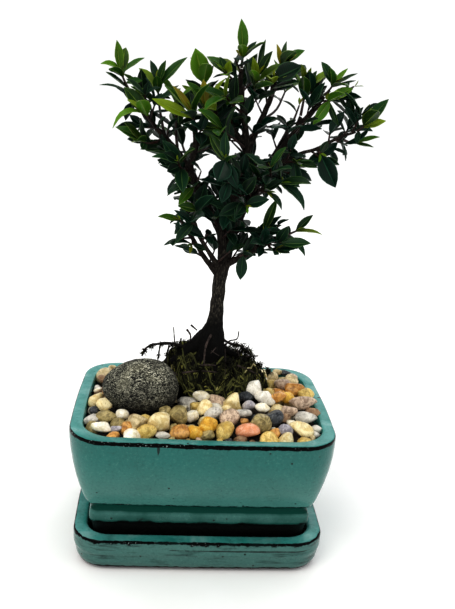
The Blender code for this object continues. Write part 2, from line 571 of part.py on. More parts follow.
def make_soil(material):
    """Soil to the pot's inner wall, with the mound raised from its flat top."""
    rings = []
    for z in (SOIL_LOW, BODY_LOW, WALL_LEVEL, SOIL_LEVEL):
        extra = 1.4 if z == SOIL_LOW else 0.0
        rings.append(pot_ring(wall_inset(z) + GAP + 0.25 + extra, z))
    soil = make_object("soil", *loft(rings), material)
    hill = [mound_ring(0.97, SOIL_LEVEL - 6.0), mound_ring(0.94, SOIL_LEVEL - 0.6)]
    hill += [mound_ring(share, hill_height(share)) for share in MOUND_SHARES]
    fuse(soil, [make_object("hill", *loft(hill))])
    well_top = (WELL_RADIUS + 4.5, BED_TOP + MOUND_RISE + 3.0)
    well = [[(TRUNK_X + radius * math.cos(math.tau * step / 16),
              TRUNK_Y + radius * math.sin(math.tau * step / 16), z) for step in range(16)]
            for radius, z in ((WELL_RADIUS - 1.4, WELL_LOW), well_top)]
    cut(soil, [make_object("well", *loft(well)), make_stone("stone_room", None, GAP + 0.1)])
    return soil


def make_moss(material, wood_room):
    """A layer of moss over the mound, open in the middle for the trunk and its roots."""
    low = SOIL_LEVEL + GAP + 0.2
    rings = [mound_ring(share, hill_height(share) + MOSS_ROOM) for share in reversed(MOUND_SHARES)]
    rings += [mound_ring(0.955, low), mound_ring(0.985, low)]
    for share in (0.985,) + MOUND_SHARES:
        edge = 0.8 if share == 0.985 else 0.0
        rings.append([(x, y, moss_top(x, y) + edge) for x, y, _ in mound_ring(share, 0.0)])
    moss = make_object("moss_mound", *loft(rings), material)
    cut(moss, [wood_room, make_stone("stone_room", None, GAP + 0.1)], "MANIFOLD")
    return moss


def make_stone(name, material, grow=0.0):
    """An egg lying along X, with its blunt end to the right."""
    rings = []
    for level in range(1, 8):
        tilt = math.pi * level / 8
        ring = []
        for step in range(14):
            turn = math.tau * step / 14
            side = math.sin(tilt) * math.cos(turn)
            blunt = 1.0 + STONE_BLUNT * side
            ring.append((STONE_CENTRE[0] + (STONE_HALF[0] + grow) * side,
                         STONE_CENTRE[1] + (STONE_HALF[1] + grow) * math.sin(tilt) * math.sin(turn) * blunt,
                         STONE_CENTRE[2] - (STONE_HALF[2] + grow) * math.cos(tilt) * blunt))
        rings.append(ring)
    return make_object(name, *loft(rings), material)


def pebble_shape(x, y, z, long, wide, tall, turn):
    """A smooth stone with few faces: a sunk foot, its widest ring, a shoulder and a flat crown."""
    rings = []
    for spread, height in ((0.6, -0.6), (1.0, -0.1), (0.78, 0.62), (0.3, 0.97)):
        ring = []
        for step in range(PEBBLE_SIDES):
            angle = math.tau * step / PEBBLE_SIDES
            along = long * spread * math.cos(angle)
            across = wide * spread * math.sin(angle)
            ring.append((x + along * math.cos(turn) - across * math.sin(turn),
                         y + along * math.sin(turn) + across * math.cos(turn), z + tall * height))
        rings.append(ring)
    return loft(rings)


def pebble_places():
    """Seeded places and sizes of the pebbles, big ones first, nearly touching each other."""
    draw = random.Random(PEBBLE_SEED)
    places = []
    for attempt in range(PEBBLE_TRIES):
        size = PEBBLE_SIZES[1] + (PEBBLE_SIZES[0] - PEBBLE_SIZES[1]) * attempt / PEBBLE_TRIES
        x = draw.uniform(-1, 1) * (RIM_X - LIP_WIDTH)
        y = draw.uniform(-1, 1) * (RIM_Y - LIP_WIDTH)
        turn = draw.uniform(0, math.pi)
        long = size * draw.uniform(0.95, 1.2)
        wide = size * draw.uniform(0.7, 0.9)
        tall = size * draw.uniform(0.55, 0.8)
        if not inside_bed(x, y, long):
            continue
        if any(math.hypot(x - p[0], y - p[1]) < 0.8 * (long + p[2]) for p in places):
            continue
        places.append((x, y, long, wide, tall, turn))
    return places


def inside_bed(x, y, reach):
    """True where a pebble lies between the pot's wall, the mound and the egg."""
    if wall_distance(x, y) < reach * 0.95 + 1.4:
        return False
    if mound_distance(x, y) < 0.6 * reach:
        return False
    egg = math.hypot((x - STONE_CENTRE[0]) / (STONE_HALF[0] - 5.0 + reach),
                     (y - STONE_CENTRE[1]) / (STONE_HALF[1] - 5.0 + reach))
    return egg > 1.0


def make_gravel(material):
    """A bed of grit with the pebbles sunk in it and fused to it, open for the mound and the egg."""
    inset = wall_inset(SOIL_LEVEL) + GAP + 0.2
    rings = [pot_ring(inset, SOIL_LEVEL + GAP), pot_ring(inset, BED_EDGE)]
    rings += [pot_ring(inset + BED_SLOPE * share, BED_EDGE + (BED_TOP - BED_EDGE) * share)
              for share in (0.5, 1.0)]
    bed = make_object("gravel", *loft(rings), material)
    pebbles = []
    for number, (x, y, long, wide, tall, turn) in enumerate(pebble_places()):
        shape = pebble_shape(x, y, bed_height(x, y) + 0.06 * tall, long, wide, tall, turn)
        pebbles.append(make_object("pebble_%03d" % number, *shape))
    fuse(bed, pebbles, "MANIFOLD")
    hole = [mound_ring(1.0, SOIL_LEVEL - 5.0), mound_ring(1.0, BED_TOP + MOUND_RISE)]
    mound_room = make_object("mound_room", *loft(hole))
    cut(bed, [mound_room, make_stone("stone_room", None, GAP + 0.1)], "MANIFOLD")
    return bed


def tube_rings(points, radii, sides, start_axis=None):
    """Rings square to a path, carried along it without twist."""
    axis = (points[1] - points[0]).normalized()
    side = axis.cross(Vector((0.13, 0.21, 0.97))).normalized()
    rings = []
    for number, point in enumerate(points):
        before = points[max(number - 1, 0)]
        after = points[min(number + 1, len(points) - 1)]
        axis = (after - before).normalized()
        if start_axis and number == 0:
            axis = start_axis
        side = (side - axis * side.dot(axis)).normalized()
        other = axis.cross(side)
        ring = []
        for step in range(sides):
            angle = math.tau * step / sides
            spread = side * math.cos(angle) + other * math.sin(angle)
            ring.append(point + spread * radii[number])
        rings.append(ring)
    return rings


def wood_run(name):
    """Points and radii of a wood run in the frame."""
    points = [seen_at(x, z, y) for x, z, y, _ in WOOD[name]]
    radii = [row[3] for row in WOOD[name]]
    return points, radii


def root_runs():
    """Surface roots that leave the flare, lie on the mound and dive into its moss."""
    draw = random.Random(ROOT_SEED)
    runs = [([seen_at(x, z, y) for x, z, y, _ in FLARE_ROOT], [row[3] for row in FLARE_ROOT])]
    for turn, reach in zip(ROOT_TURNS, ROOT_REACH):
        sway = draw.uniform(-0.25, 0.25)
        thick = draw.uniform(2.4, 3.3)
        points = []
        radii = []
        for share in (0.0, 0.26, 0.58, 1.0):
            angle = math.radians(turn) + sway * math.sin(share * 3.4)
            x = TRUNK_X + reach * share * math.cos(angle)
            y = TRUNK_Y + reach * share * math.sin(angle)
            lift = 8.5 * (1.0 - share) ** 3 + 0.6 - 2.4 * share ** 2 + shoulder_height(x, y)
            points.append(Vector((x, y, BED_TOP + mound_height(mound_share(x, y)) + lift)))
            radii.append(thick * (1.0 - share) + 0.9)
        runs.append((points, radii))
    return runs


def stem_path(name):
    """A leafy stem's points from the bearing wood's axis, its stub's length and the gap after it."""
    bearer, place, points = STEMS[name][:3]
    run_points, run_radii = wood_run(bearer)
    path = [run_points[place]] + [seen_at(x, z, y) for x, z, y in points]
    ends_run = place == len(run_points) - 1
    along = run_points[place] - run_points[place - 1]
    lean = abs((path[1] - path[0]).normalized().dot(along.normalized()))
    square = math.sqrt(max(1.0 - lean * lean, 0.06))
    if ends_run:
        return path, 0.0, TWIG_RADIUS * square / max(lean, 0.4) + GAP / max(lean, 0.4)
    return path, (run_radii[place] + TWIG_RADIUS * lean + GAP) / square + 0.5, GAP


def walk(path, distance):
    """The point at a distance along a path of straight pieces."""
    for start, end in zip(path, path[1:]):
        length = (end - start).length
        if distance <= length:
            return start.lerp(end, distance / length)
        distance -= length
    return path[-1].copy()


def path_length(path):
    return sum((end - start).length for start, end in zip(path, path[1:]))


def split_stem(name):
    """The stub that stays on the wood and the twig that starts a hair's breadth after it."""
    path, stub, gap = stem_path(name)
    length = path_length(path)
    stub = min(stub, 0.7 * length)
    stub_path = [path[0], walk(path, stub)]
    twig_path = [walk(path, stub + gap), walk(path, 0.5 * (stub + gap + length)), path[-1]]
    return stub_path, twig_path


def twig_parts(name):
    """A twig that starts square to its stub and thins to its bud."""
    stub_path, twig_path = split_stem(name)
    radii = [TWIG_RADIUS, TWIG_RADIUS * 0.9, TWIG_RADIUS * 0.65]
    start_axis = (stub_path[1] - stub_path[0]).normalized() if name in side_stems() else None
    return loft(tube_rings(twig_path, radii, 4, start_axis))


def side_stems():
    """The stems that grow from the side of a wood run, and so have a stub on it."""
    return [name for name in STEMS if stem_path(name)[1] > 0.0]


def stub_parts(name):
    stub_path = split_stem(name)[0]
    return loft(tube_rings(stub_path, [TWIG_RADIUS * 1.05, TWIG_RADIUS * 1.05], 4))


def wood_parts():
    """Closed tubes of all the wood, each as verts and faces, the trunk first."""
    parts = []
    for name in WOOD:
        points, radii = wood_run(name)
        sides = 8 if name == "trunk" else 5
        parts.append(loft(tube_rings(points, radii, sides)))
    for points, radii in root_runs():
        parts.append(loft(tube_rings(points, radii, 5)))
    return parts


def make_trunk(material):
    parts = wood_parts() + [stub_parts(name) for name in side_stems()]
    base = make_object("trunk", *parts[0], material)
    others = [make_object("wood_%02d" % number, *part) for number, part in enumerate(parts[1:])]
    fuse(base, others)
    return base


def make_wood_room():
    """The trunk and its roots with a hair's breadth round them, to cut their place in the moss."""
    points, radii = wood_run("trunk")
    base = make_object("wood_room", *loft(tube_rings(points, [r + GAP + 0.1 for r in radii], 8)))
    others = []
    for number, (points, radii) in enumerate(root_runs()):
        rings = tube_rings(points, [radius + GAP + 0.1 for radius in radii], 5)
        others.append(make_object("root_room_%d" % number, *loft(rings)))
    fuse(base, others)
    return base


def blade_half_width(share):
    """Half the width of a leaf along its length, as a share of its widest."""
    return math.sin(math.pi * share ** 0.9) ** 0.75


def blade_line(blade, share):
    """Point, forward and face directions on a leaf's midrib."""
    chord = blade.tip - blade.root
    bend = (blade.root + blade.tip) / 2 + blade.face * (2.0 * blade.bulge * chord.length)
    point = blade.root * (1 - share) ** 2 + bend * (2 * share * (1 - share)) + blade.tip * share ** 2
    forward = ((bend - blade.root) * (1 - share) + (blade.tip - bend) * share).normalized()
    side = forward.cross(blade.face).normalized()
    return point, forward, side, side.cross(forward)


def blade_mesh(blade, grow=0.0):
    """A leaf as a thin keeled blade from a pointed root sunk in the twig to its tip.

    Each station has its left edge, its right edge and the midrib on its underside.
    """
    verts = [blade_line(blade, 0.0)[0] - blade_line(blade, 0.0)[1] * ROOT_SINK]
    long = (blade.tip - blade.root).length > 17.5
    for share in (0.24, 0.54, 0.82) if long else (0.3, 0.7):
        point, _, side, face = blade_line(blade, share)
        half = 0.5 * blade.width * blade_half_width(share) + grow
        upper = point + face * (0.4 * LEAF_THICK + grow)
        verts += [upper - side * half, upper + side * half, point - face * (0.6 * LEAF_THICK + grow)]
    end = blade_line(blade, 1.0)
    verts.append(end[0] + end[1] * grow)
    faces = [(0, 2, 1), (0, 3, 2), (0, 1, 3)]
    for low in range(1, len(verts) - 4, 3):
        high = low + 3
        faces += [(low, high + 1, high), (low, low + 1, high + 1),
                  (low + 1, high + 2, high + 1), (low + 1, low + 2, high + 2),
                  (low + 2, high, high + 2), (low + 2, low, high)]
    low = len(verts) - 4
    tip = len(verts) - 1
    faces += [(low, low + 1, tip), (low + 1, low + 2, tip), (low + 2, low, tip)]
    return verts, faces


def obstacle(verts, faces, owner):
    verts = [Vector(vert) for vert in verts]
    centre = sum(verts, Vector()) / len(verts)
    radius = max((vert - centre).length for vert in verts)
    return Obstacle(centre, radius, BVHTree.FromPolygons(verts, faces), owner)


def is_clear(blade, owner, obstacles, strict):
    """True where a leaf clears the other stems and, if strict, its own stem's leaves too."""
    test = obstacle(*blade_mesh(blade, LEAF_CLEAR), owner)
    outer = blade._replace(root=blade_line(blade, OWN_ROOM)[0])
    own_test = obstacle(*blade_mesh(outer), owner)
    for other in obstacles:
        if (other.centre - test.centre).length > other.radius + test.radius:
            continue
        if other.owner != owner and test.tree.overlap(other.tree):
            return False
        if strict and other.owner == owner and own_test.tree.overlap(other.tree):
            return False
    return True


def in_outline(x, z):
    inside = False
    for (ax, az), (bx, bz) in zip(CROWN_OUTLINE, CROWN_OUTLINE[1:] + CROWN_OUTLINE[:1]):
        if (az > z) != (bz > z) and x < ax + (z - az) / (bz - az) * (bx - ax):
            inside = not inside
    return inside


def keeps_place(blade):
    """True where a leaf stays inside the crown's outline and off the sky's openings."""
    if not in_outline(*read_off(blade.tip)):
        return False
    for share in (0.25, 0.5, 0.75, 1.0):
        x, z = read_off(blade_line(blade, share)[0])
        for gap_x, gap_z, radius in SKY:
            if math.hypot(x - gap_x, z - gap_z) < radius + 0.3 * blade.width:
                return False
    return True


def hand_blade(twig, leaf, order):
    """A leaf whose tip is given as the eye sees it, rooted a little below the one before it."""
    place, tip_x, tip_z, depth, width, turn, bulge, age = leaf
    length = path_length(twig)
    root = walk(twig, max(min(place * length, length - 0.6) - 0.9 * order, 1.0))
    tip = seen_at(tip_x, tip_z, root.y + depth)
    chord = (tip - root).normalized()
    up = Vector((0, 0, 1))
    if abs(chord.z) > 0.85:
        up = Vector((-chord.x, 0, 0)) if abs(chord.x) > 0.1 else Vector((-1, 0, 0))
    front = (EYE - root).normalized()
    up = (up - chord * up.dot(chord)).normalized()
    front = (front - chord * front.dot(chord)).normalized()
    across = (front - up * front.dot(up)).normalized()
    face = up * math.cos(math.radians(turn)) + across * math.sin(math.radians(turn))
    return Blade(root, tip, face.normalized(), width, bulge, age)


def rule_blade(twig, share, turn, lean, length, slim, bulge, age, light):
    """A leaf on the twig at a turn round it, leaning out from its axis."""
    root = walk(twig, path_length(twig) * share)
    ahead = (walk(twig, path_length(twig) * min(share + 0.1, 1.0))
             - walk(twig, path_length(twig) * max(share - 0.1, 0.0))).normalized()
    side = ahead.cross(Vector((0.31, 0.17, 0.93))).normalized()
    outward = side * math.cos(turn) + ahead.cross(side) * math.sin(turn)
    heading = (ahead * math.cos(lean) + outward * math.sin(lean)).normalized()
    face = ahead * 1.0 + light
    face = (face - heading * face.dot(heading)).normalized()
    return Blade(root, root + heading * length, face, length * slim, bulge, age)


def grow_leaves():
    """Every leaf of every stem, each clear of the other stems and of the wood."""
    obstacles = [obstacle(*part, "trunk") for part in wood_parts()]
    obstacles += [obstacle(*stub_parts(name), "trunk") for name in side_stems()]
    obstacles += [obstacle(*twig_parts(name), name) for name in STEMS]
    leaves = {name: [] for name in STEMS}
    twigs = {name: split_stem(name)[1] for name in STEMS}
    for name, stem in STEMS.items():
        draw = random.Random(name)
        for order, leaf in enumerate(stem[4]):
            blade = hand_blade(twigs[name], leaf, order)
            for attempt in range(HAND_TRIES[1]):
                if is_clear(blade, name, obstacles, attempt < HAND_TRIES[0]):
                    leaves[name].append(blade)
                    obstacles.append(obstacle(*blade_mesh(blade), name))
                    break
                blade = shifted(hand_blade(twigs[name], leaf, order), draw, attempt)
    for rank in range(LEAF_RANKS):
        for name, stem in STEMS.items():
            pair, side = divmod(rank, 2)
            if pair >= stem[3]:
                continue
            draw = random.Random("%s %d" % (name, rank))
            share = 0.98 - 0.8 * pair / max(stem[3], 1) if stem[4] == [] else 0.75 - 0.5 * pair / stem[3]
            for attempt in range(RULE_TRIES[1]):
                spread = 0.12 + 0.03 * attempt
                turn = math.pi / 2 * pair + math.pi * side + len(name) + draw.uniform(-spread, spread)
                lean = math.radians(draw.uniform(32, 48) + 10 * pair) + draw.uniform(0, 0.01) * attempt
                length = draw.uniform(18, 23.5) * (1.0 - 0.007 * attempt)
                light = Vector((0, -0.15, 0.9))
                age = max(0.75 - 0.35 * pair + draw.uniform(-0.2, 0.2), 0.0)
                age *= min(max((twigs[name][-1].z - OLD_LEAVES) / YOUNG_RISE, 0.1), 1.0)
                blade = rule_blade(twigs[name], share, turn, lean, length, draw.uniform(0.33, 0.42),
                                   draw.uniform(0.04, 0.14), age, light)
                if keeps_place(blade) and is_clear(blade, name, obstacles, attempt < RULE_TRIES[0]):
                    leaves[name].append(blade)
                    obstacles.append(obstacle(*blade_mesh(blade), name))
                    break
    return leaves


def shifted(blade, draw, attempt):
    """A leaf moved in depth and turned a little, with its seen outline nearly kept."""
    reach = 0.5 + 0.3 * attempt
    tip_x, tip_z = read_off(blade.tip)
    tip = seen_at(tip_x, tip_z, blade.tip.y + draw.uniform(-reach, reach))
    spin = Matrix.Rotation(draw.uniform(-0.02, 0.02) * attempt, 3, (tip - blade.root).normalized())
    chord = (tip - blade.root).normalized()
    face = spin @ blade.face
    face = (face - chord * face.dot(chord)).normalized()
    return blade._replace(tip=tip, face=face, width=blade.width * (1.0 - 0.006 * attempt))


def make_sprays(material, leaves):
    for name, blades in leaves.items():
        base = make_object("spray_" + name, *twig_parts(name), material)
        others = []
        for number, blade in enumerate(blades):
            others.append(make_object("leaf_%02d" % number, *blade_mesh(blade)))
        if others:
            fuse(base, others)


def square_plan(x, y, half):
    return [(x + half, y + half), (x - half, y + half), (x - half, y - half), (x + half, y - half)]


def make_screens(material):
    """Square plastic mesh over each drain hole."""
    low = POT_FLOOR + GAP
    for side, name in ((-1, "drain_screen_left"), (1, "drain_screen_right")):
        middle = side * DRAIN_X
        plan = square_plan(middle, 0.0, SCREEN_HALF)
        plate = make_object(name, *loft([[(x, y, z) for x, y in plan] for z in (low, low + 0.8)]), material)
        holes = []
        for x in (middle - MESH_PLACE, middle + MESH_PLACE):
            for y in (-MESH_PLACE, MESH_PLACE):
                hole = [[(px, py, z) for px, py in square_plan(x, y, MESH_HALF)]
                        for z in (low - 1.0, low + 2.0)]
                holes.append(make_object("mesh_hole", *loft(hole)))
        cut(plate, holes)


def main():
    start_empty()
    glaze = make_material("teal_glaze", (0.05, 0.15, 0.14), 0.25)
    earth = make_material("potting_soil", (0.03, 0.02, 0.014), 0.95)
    moss = make_material("moss", (0.03, 0.04, 0.015), 0.9)
    granite = make_material("granite", (0.05, 0.05, 0.05), 0.7)
    river_stone = make_material("river_pebbles", (0.5, 0.42, 0.3), 0.45)
    bark = make_material("bark", (0.07, 0.045, 0.03), 0.85)
    leaf_green = make_material("leaf_green", (0.04, 0.13, 0.02), 0.35)
    black_plastic = make_material("black_plastic", (0.02, 0.02, 0.02), 0.5)
    make_saucer(glaze)
    make_pot(glaze)
    make_screens(black_plastic)
    make_soil(earth)
    make_moss(moss, make_wood_room())
    make_gravel(river_stone)
    make_stone("stone", granite)
    make_trunk(bark)
    make_sprays(leaf_green, grow_leaves())


main()
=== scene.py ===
import math
import random
from collections import namedtuple

import bpy
import numpy as np
from mathutils import Matrix, Vector, noise
from mathutils.bvhtree import BVHTree
from mathutils.kdtree import KDTree


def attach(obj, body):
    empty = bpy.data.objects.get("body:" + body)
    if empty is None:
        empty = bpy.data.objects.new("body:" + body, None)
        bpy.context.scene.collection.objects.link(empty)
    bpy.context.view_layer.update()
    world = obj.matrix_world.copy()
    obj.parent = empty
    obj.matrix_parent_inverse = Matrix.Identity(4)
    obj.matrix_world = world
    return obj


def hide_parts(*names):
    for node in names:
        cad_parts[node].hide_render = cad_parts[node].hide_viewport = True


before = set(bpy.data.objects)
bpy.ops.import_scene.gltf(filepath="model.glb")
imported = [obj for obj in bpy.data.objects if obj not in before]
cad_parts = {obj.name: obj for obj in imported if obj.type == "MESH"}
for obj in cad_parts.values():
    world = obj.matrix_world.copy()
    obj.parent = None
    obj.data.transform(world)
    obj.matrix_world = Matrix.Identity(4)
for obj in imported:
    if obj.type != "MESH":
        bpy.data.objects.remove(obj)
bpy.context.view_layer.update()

MM = 0.001
BODY = "root"
# Air between a stub and its twig.
GAP = 0.3
# How fast the corners of the pot and the tray tighten with their insets.
CORNER_SHRINK = 0.55
BODY_SHRINK = 1.9
LEAST_CORNER = 4.0

# The photograph's eye: place, turns in degrees and focal length on a 36 mm high sensor.
EYE = Vector((-25.6, -431.9, 276.8))
EYE_YAW = 4.95
EYE_PITCH = 16.48
EYE_ROLL = 3.86
FOCAL = 44.17
SENSOR = 36.0
TRUNK_PLANE = 14.0

# Pot: rim outline, then the profile as insets from that outline, as in the part.
RIM_X = 77.5
RIM_Y = 60.5
RIM_CORNER = 23.5
RIM_BOW = 0.7
RIM_TOP = 85.5
RIM_EDGE = 84.0
LIP_WIDTH = 8.0
BODY_LOW = 41.0
BODY_TAPER = 11.5
BODY_CURVE = 2.2
GROOVE_LOW = 34.2
GROOVE_INSET = 15.0
FOOT_BAND_INSET = 12.6
CLAY_TOP = 26.8
CLAY_INSET = 13.8
FOOT_INSET = 17.0
FOOT_LOW = 6.3
FOOT_HEIGHT = 6.0
FOOT_RING = 8.0
POT_FLOOR = 18.0
DRAIN_X = 32.0
DRAIN_RADIUS = 6.0
FOOT_ARCH_X = 36.0
FOOT_ARCH_Y = 22.0

# Tray under the pot.
TRAY_X = 74.5
TRAY_Y = 57.5
TRAY_CORNER = 18.6
TRAY_TOP = 21.3
TRAY_WALL = 8.5
TRAY_FLOOR = 6.0
TRAY_FOOT = 1.5

# Ground in the pot: level bed and the mound round the trunk.
SOIL_LEVEL = 75.0
BED_EDGE = 79.0
BED_TOP = 83.0
BED_SLOPE = 20.0
MOUND_X = 5.0
MOUND_Y = 20.0
MOUND_RISE = 29.0
MOUND_REACH = (40.0, 36.0, 29.0, 33.0, 35.0, 25.0, 22.0, 28.0)
SHOULDER_PLACE = (-16.0, 13.0)
SHOULDER_RISE = 12.0
SHOULDER_SPREAD = 9.0
MOSS_RELIEF = 1.1

# Granite egg.
STONE_CENTRE = (-38.4, -7.0, 95.5)
STONE_HALF = (23.2, 19.2, 17.7)
STONE_BLUNT = 0.12

# Trunk and surface roots.
TRUNK_X = 3.0
TRUNK_Y = 15.0
FLARE_ROOT = [(4, 129, 14, 4.0), (-1.5, 121, 14, 5.0), (-8, 115.5, 13.5, 4.6), (-14, 110, 13, 3.8),
              (-20, 104, 12, 2.6)]
ROOT_SEED = 5
ROOT_TURNS = (184, 140, 216, 252, 288, 326, 8, 52, 98)
ROOT_REACH = (25, 23, 16, 13, 14, 20, 34, 26, 22)

# Leaves.
LEAF_THICK = 1.2
ROOT_SINK = 0.6
# Leaves are old below this height and grow younger over the rise above it.
OLD_LEAVES = 200.0
YOUNG_RISE = 65.0
# Tries for each leaf: those that also keep clear of the stem's own leaves, then all of them.
HAND_TRIES = (12, 30)
RULE_TRIES = (40, 60)
# Leaves that follow the rule grow in ranks, two to a pair, and each rank goes round all stems.
LEAF_RANKS = 8
LEAF_CLEAR = 0.45
OWN_ROOM = 0.25
TWIG_RADIUS = 0.95
# Leaves turn their faces up and a little to the front.
LEAF_LIGHT = Vector((0, -0.15, 0.9))
# A leaf longer than this has three stations along its blade, a shorter one two.
LONG_LEAF = 17.5
LONG_STATIONS = (0.24, 0.54, 0.82)
SHORT_STATIONS = (0.3, 0.7)

Blade = namedtuple("Blade", "root tip face width bulge age")
Obstacle = namedtuple("Obstacle", "centre radius tree owner")


def seen_at(x, z, y):
    """A place read off the trunk's plane, moved along the line of sight to its own depth."""
    pull = (y - EYE.y) / (TRUNK_PLANE - EYE.y)
    return Vector((EYE.x + (x - EYE.x) * pull, y, EYE.z + (z - EYE.z) * pull))


def read_off(point):
    """The place on the trunk's plane where the eye sees a point."""
    pull = (TRUNK_PLANE - EYE.y) / (point.y - EYE.y)
    return EYE.x + (point.x - EYE.x) * pull, EYE.z + (point.z - EYE.z) * pull


# Wood runs, each a list of (x, z, depth y, radius) as the eye sees them on the trunk's plane.
WOOD = {
    "trunk": [(3, 64, 15, 5.0), (2.5, 98, 15, 6.6), (3, 110, 15, 9.2), (3.8, 118, 15, 9.4),
        (4.8, 125, 15, 7.8), (5.8, 131, 15, 5.5), (6.4, 139, 15, 4.5), (7, 157, 15, 4.2),
        (8.6, 171, 15, 4.7)],
    "centre": [(8, 166, 15, 4.2), (12, 185, 17, 3.5), (15, 200, 19, 3.1), (18, 219, 21, 2.7),
        (18, 240, 22, 2.3), (15, 260, 22, 2.0), (12, 275, 21, 1.6), (12, 285, 20, 1.4)],
    "left_up": [(8.5, 172, 15, 3.1), (6, 189, 13, 2.7), (0, 200, 13, 2.4), (-8, 213, 14, 2.2),
        (-15, 226, 15, 2.0), (-22, 236, 16, 1.9), (-30, 244, 17, 1.7), (-40, 254, 18, 1.5),
        (-48, 264, 18, 1.3)],
    "right": [(13, 190, 18, 2.8), (22, 212, 20, 2.5), (30, 226, 21, 2.3), (38, 240, 22, 2.1),
        (46, 252, 22, 1.9), (55, 264, 22, 1.7), (61, 273, 22, 1.4)],
    "right_arm": [(30, 226, 21, 2.0), (38, 233, 18, 1.9), (50, 239.5, 15, 1.8), (60, 243, 13, 1.7),
        (72, 250, 13, 1.5), (82, 254, 13, 1.3)],
    "right_low": [(8, 168, 15, 2.6), (14, 172, 11, 2.2), (24, 178, 8, 2.0), (35, 185, 5, 1.7),
        (44, 189, 3, 1.4)],
    "left_low": [(6, 163, 15, 2.2), (-4, 175, 10, 1.5), (-10, 184, 6, 1.3), (-15, 190, 4, 1.1)],
    "left_fork": [(7, 167, 15, 2.1), (1, 175, 7, 1.5), (-7, 187, 1, 1.3), (-10, 195, -1, 1.1)],
    "front": [(13, 190, 17, 2.5), (13, 202, 6, 2.1), (12, 212, -6, 1.8), (8, 224, -14, 1.5)],
    "front_right": [(18, 208, 19, 2.3), (26, 214, 8, 1.9), (32, 220, -2, 1.6)],
    "back_left": [(12, 186, 17, 2.7), (4, 200, 32, 2.2), (-8, 216, 44, 1.8), (-16, 232, 52, 1.5)],
    "back_right": [(18, 215, 21, 2.6), (28, 226, 36, 2.2), (36, 240, 44, 1.8), (42, 253, 50, 1.5)],
    "inner_left": [(-15, 226, 15, 2.1), (-12, 240, 10, 1.8), (-13, 251, 6, 1.5)],
    "upper_left": [(18, 240, 22, 2.2), (8, 252, 24, 1.9), (-4, 262, 25, 1.6), (-9, 267, 24, 1.4)],
    "upper_right": [(18, 238, 22, 2.2), (25, 256, 26, 1.9), (30, 270, 28, 1.6), (32, 280, 28, 1.4)],
}

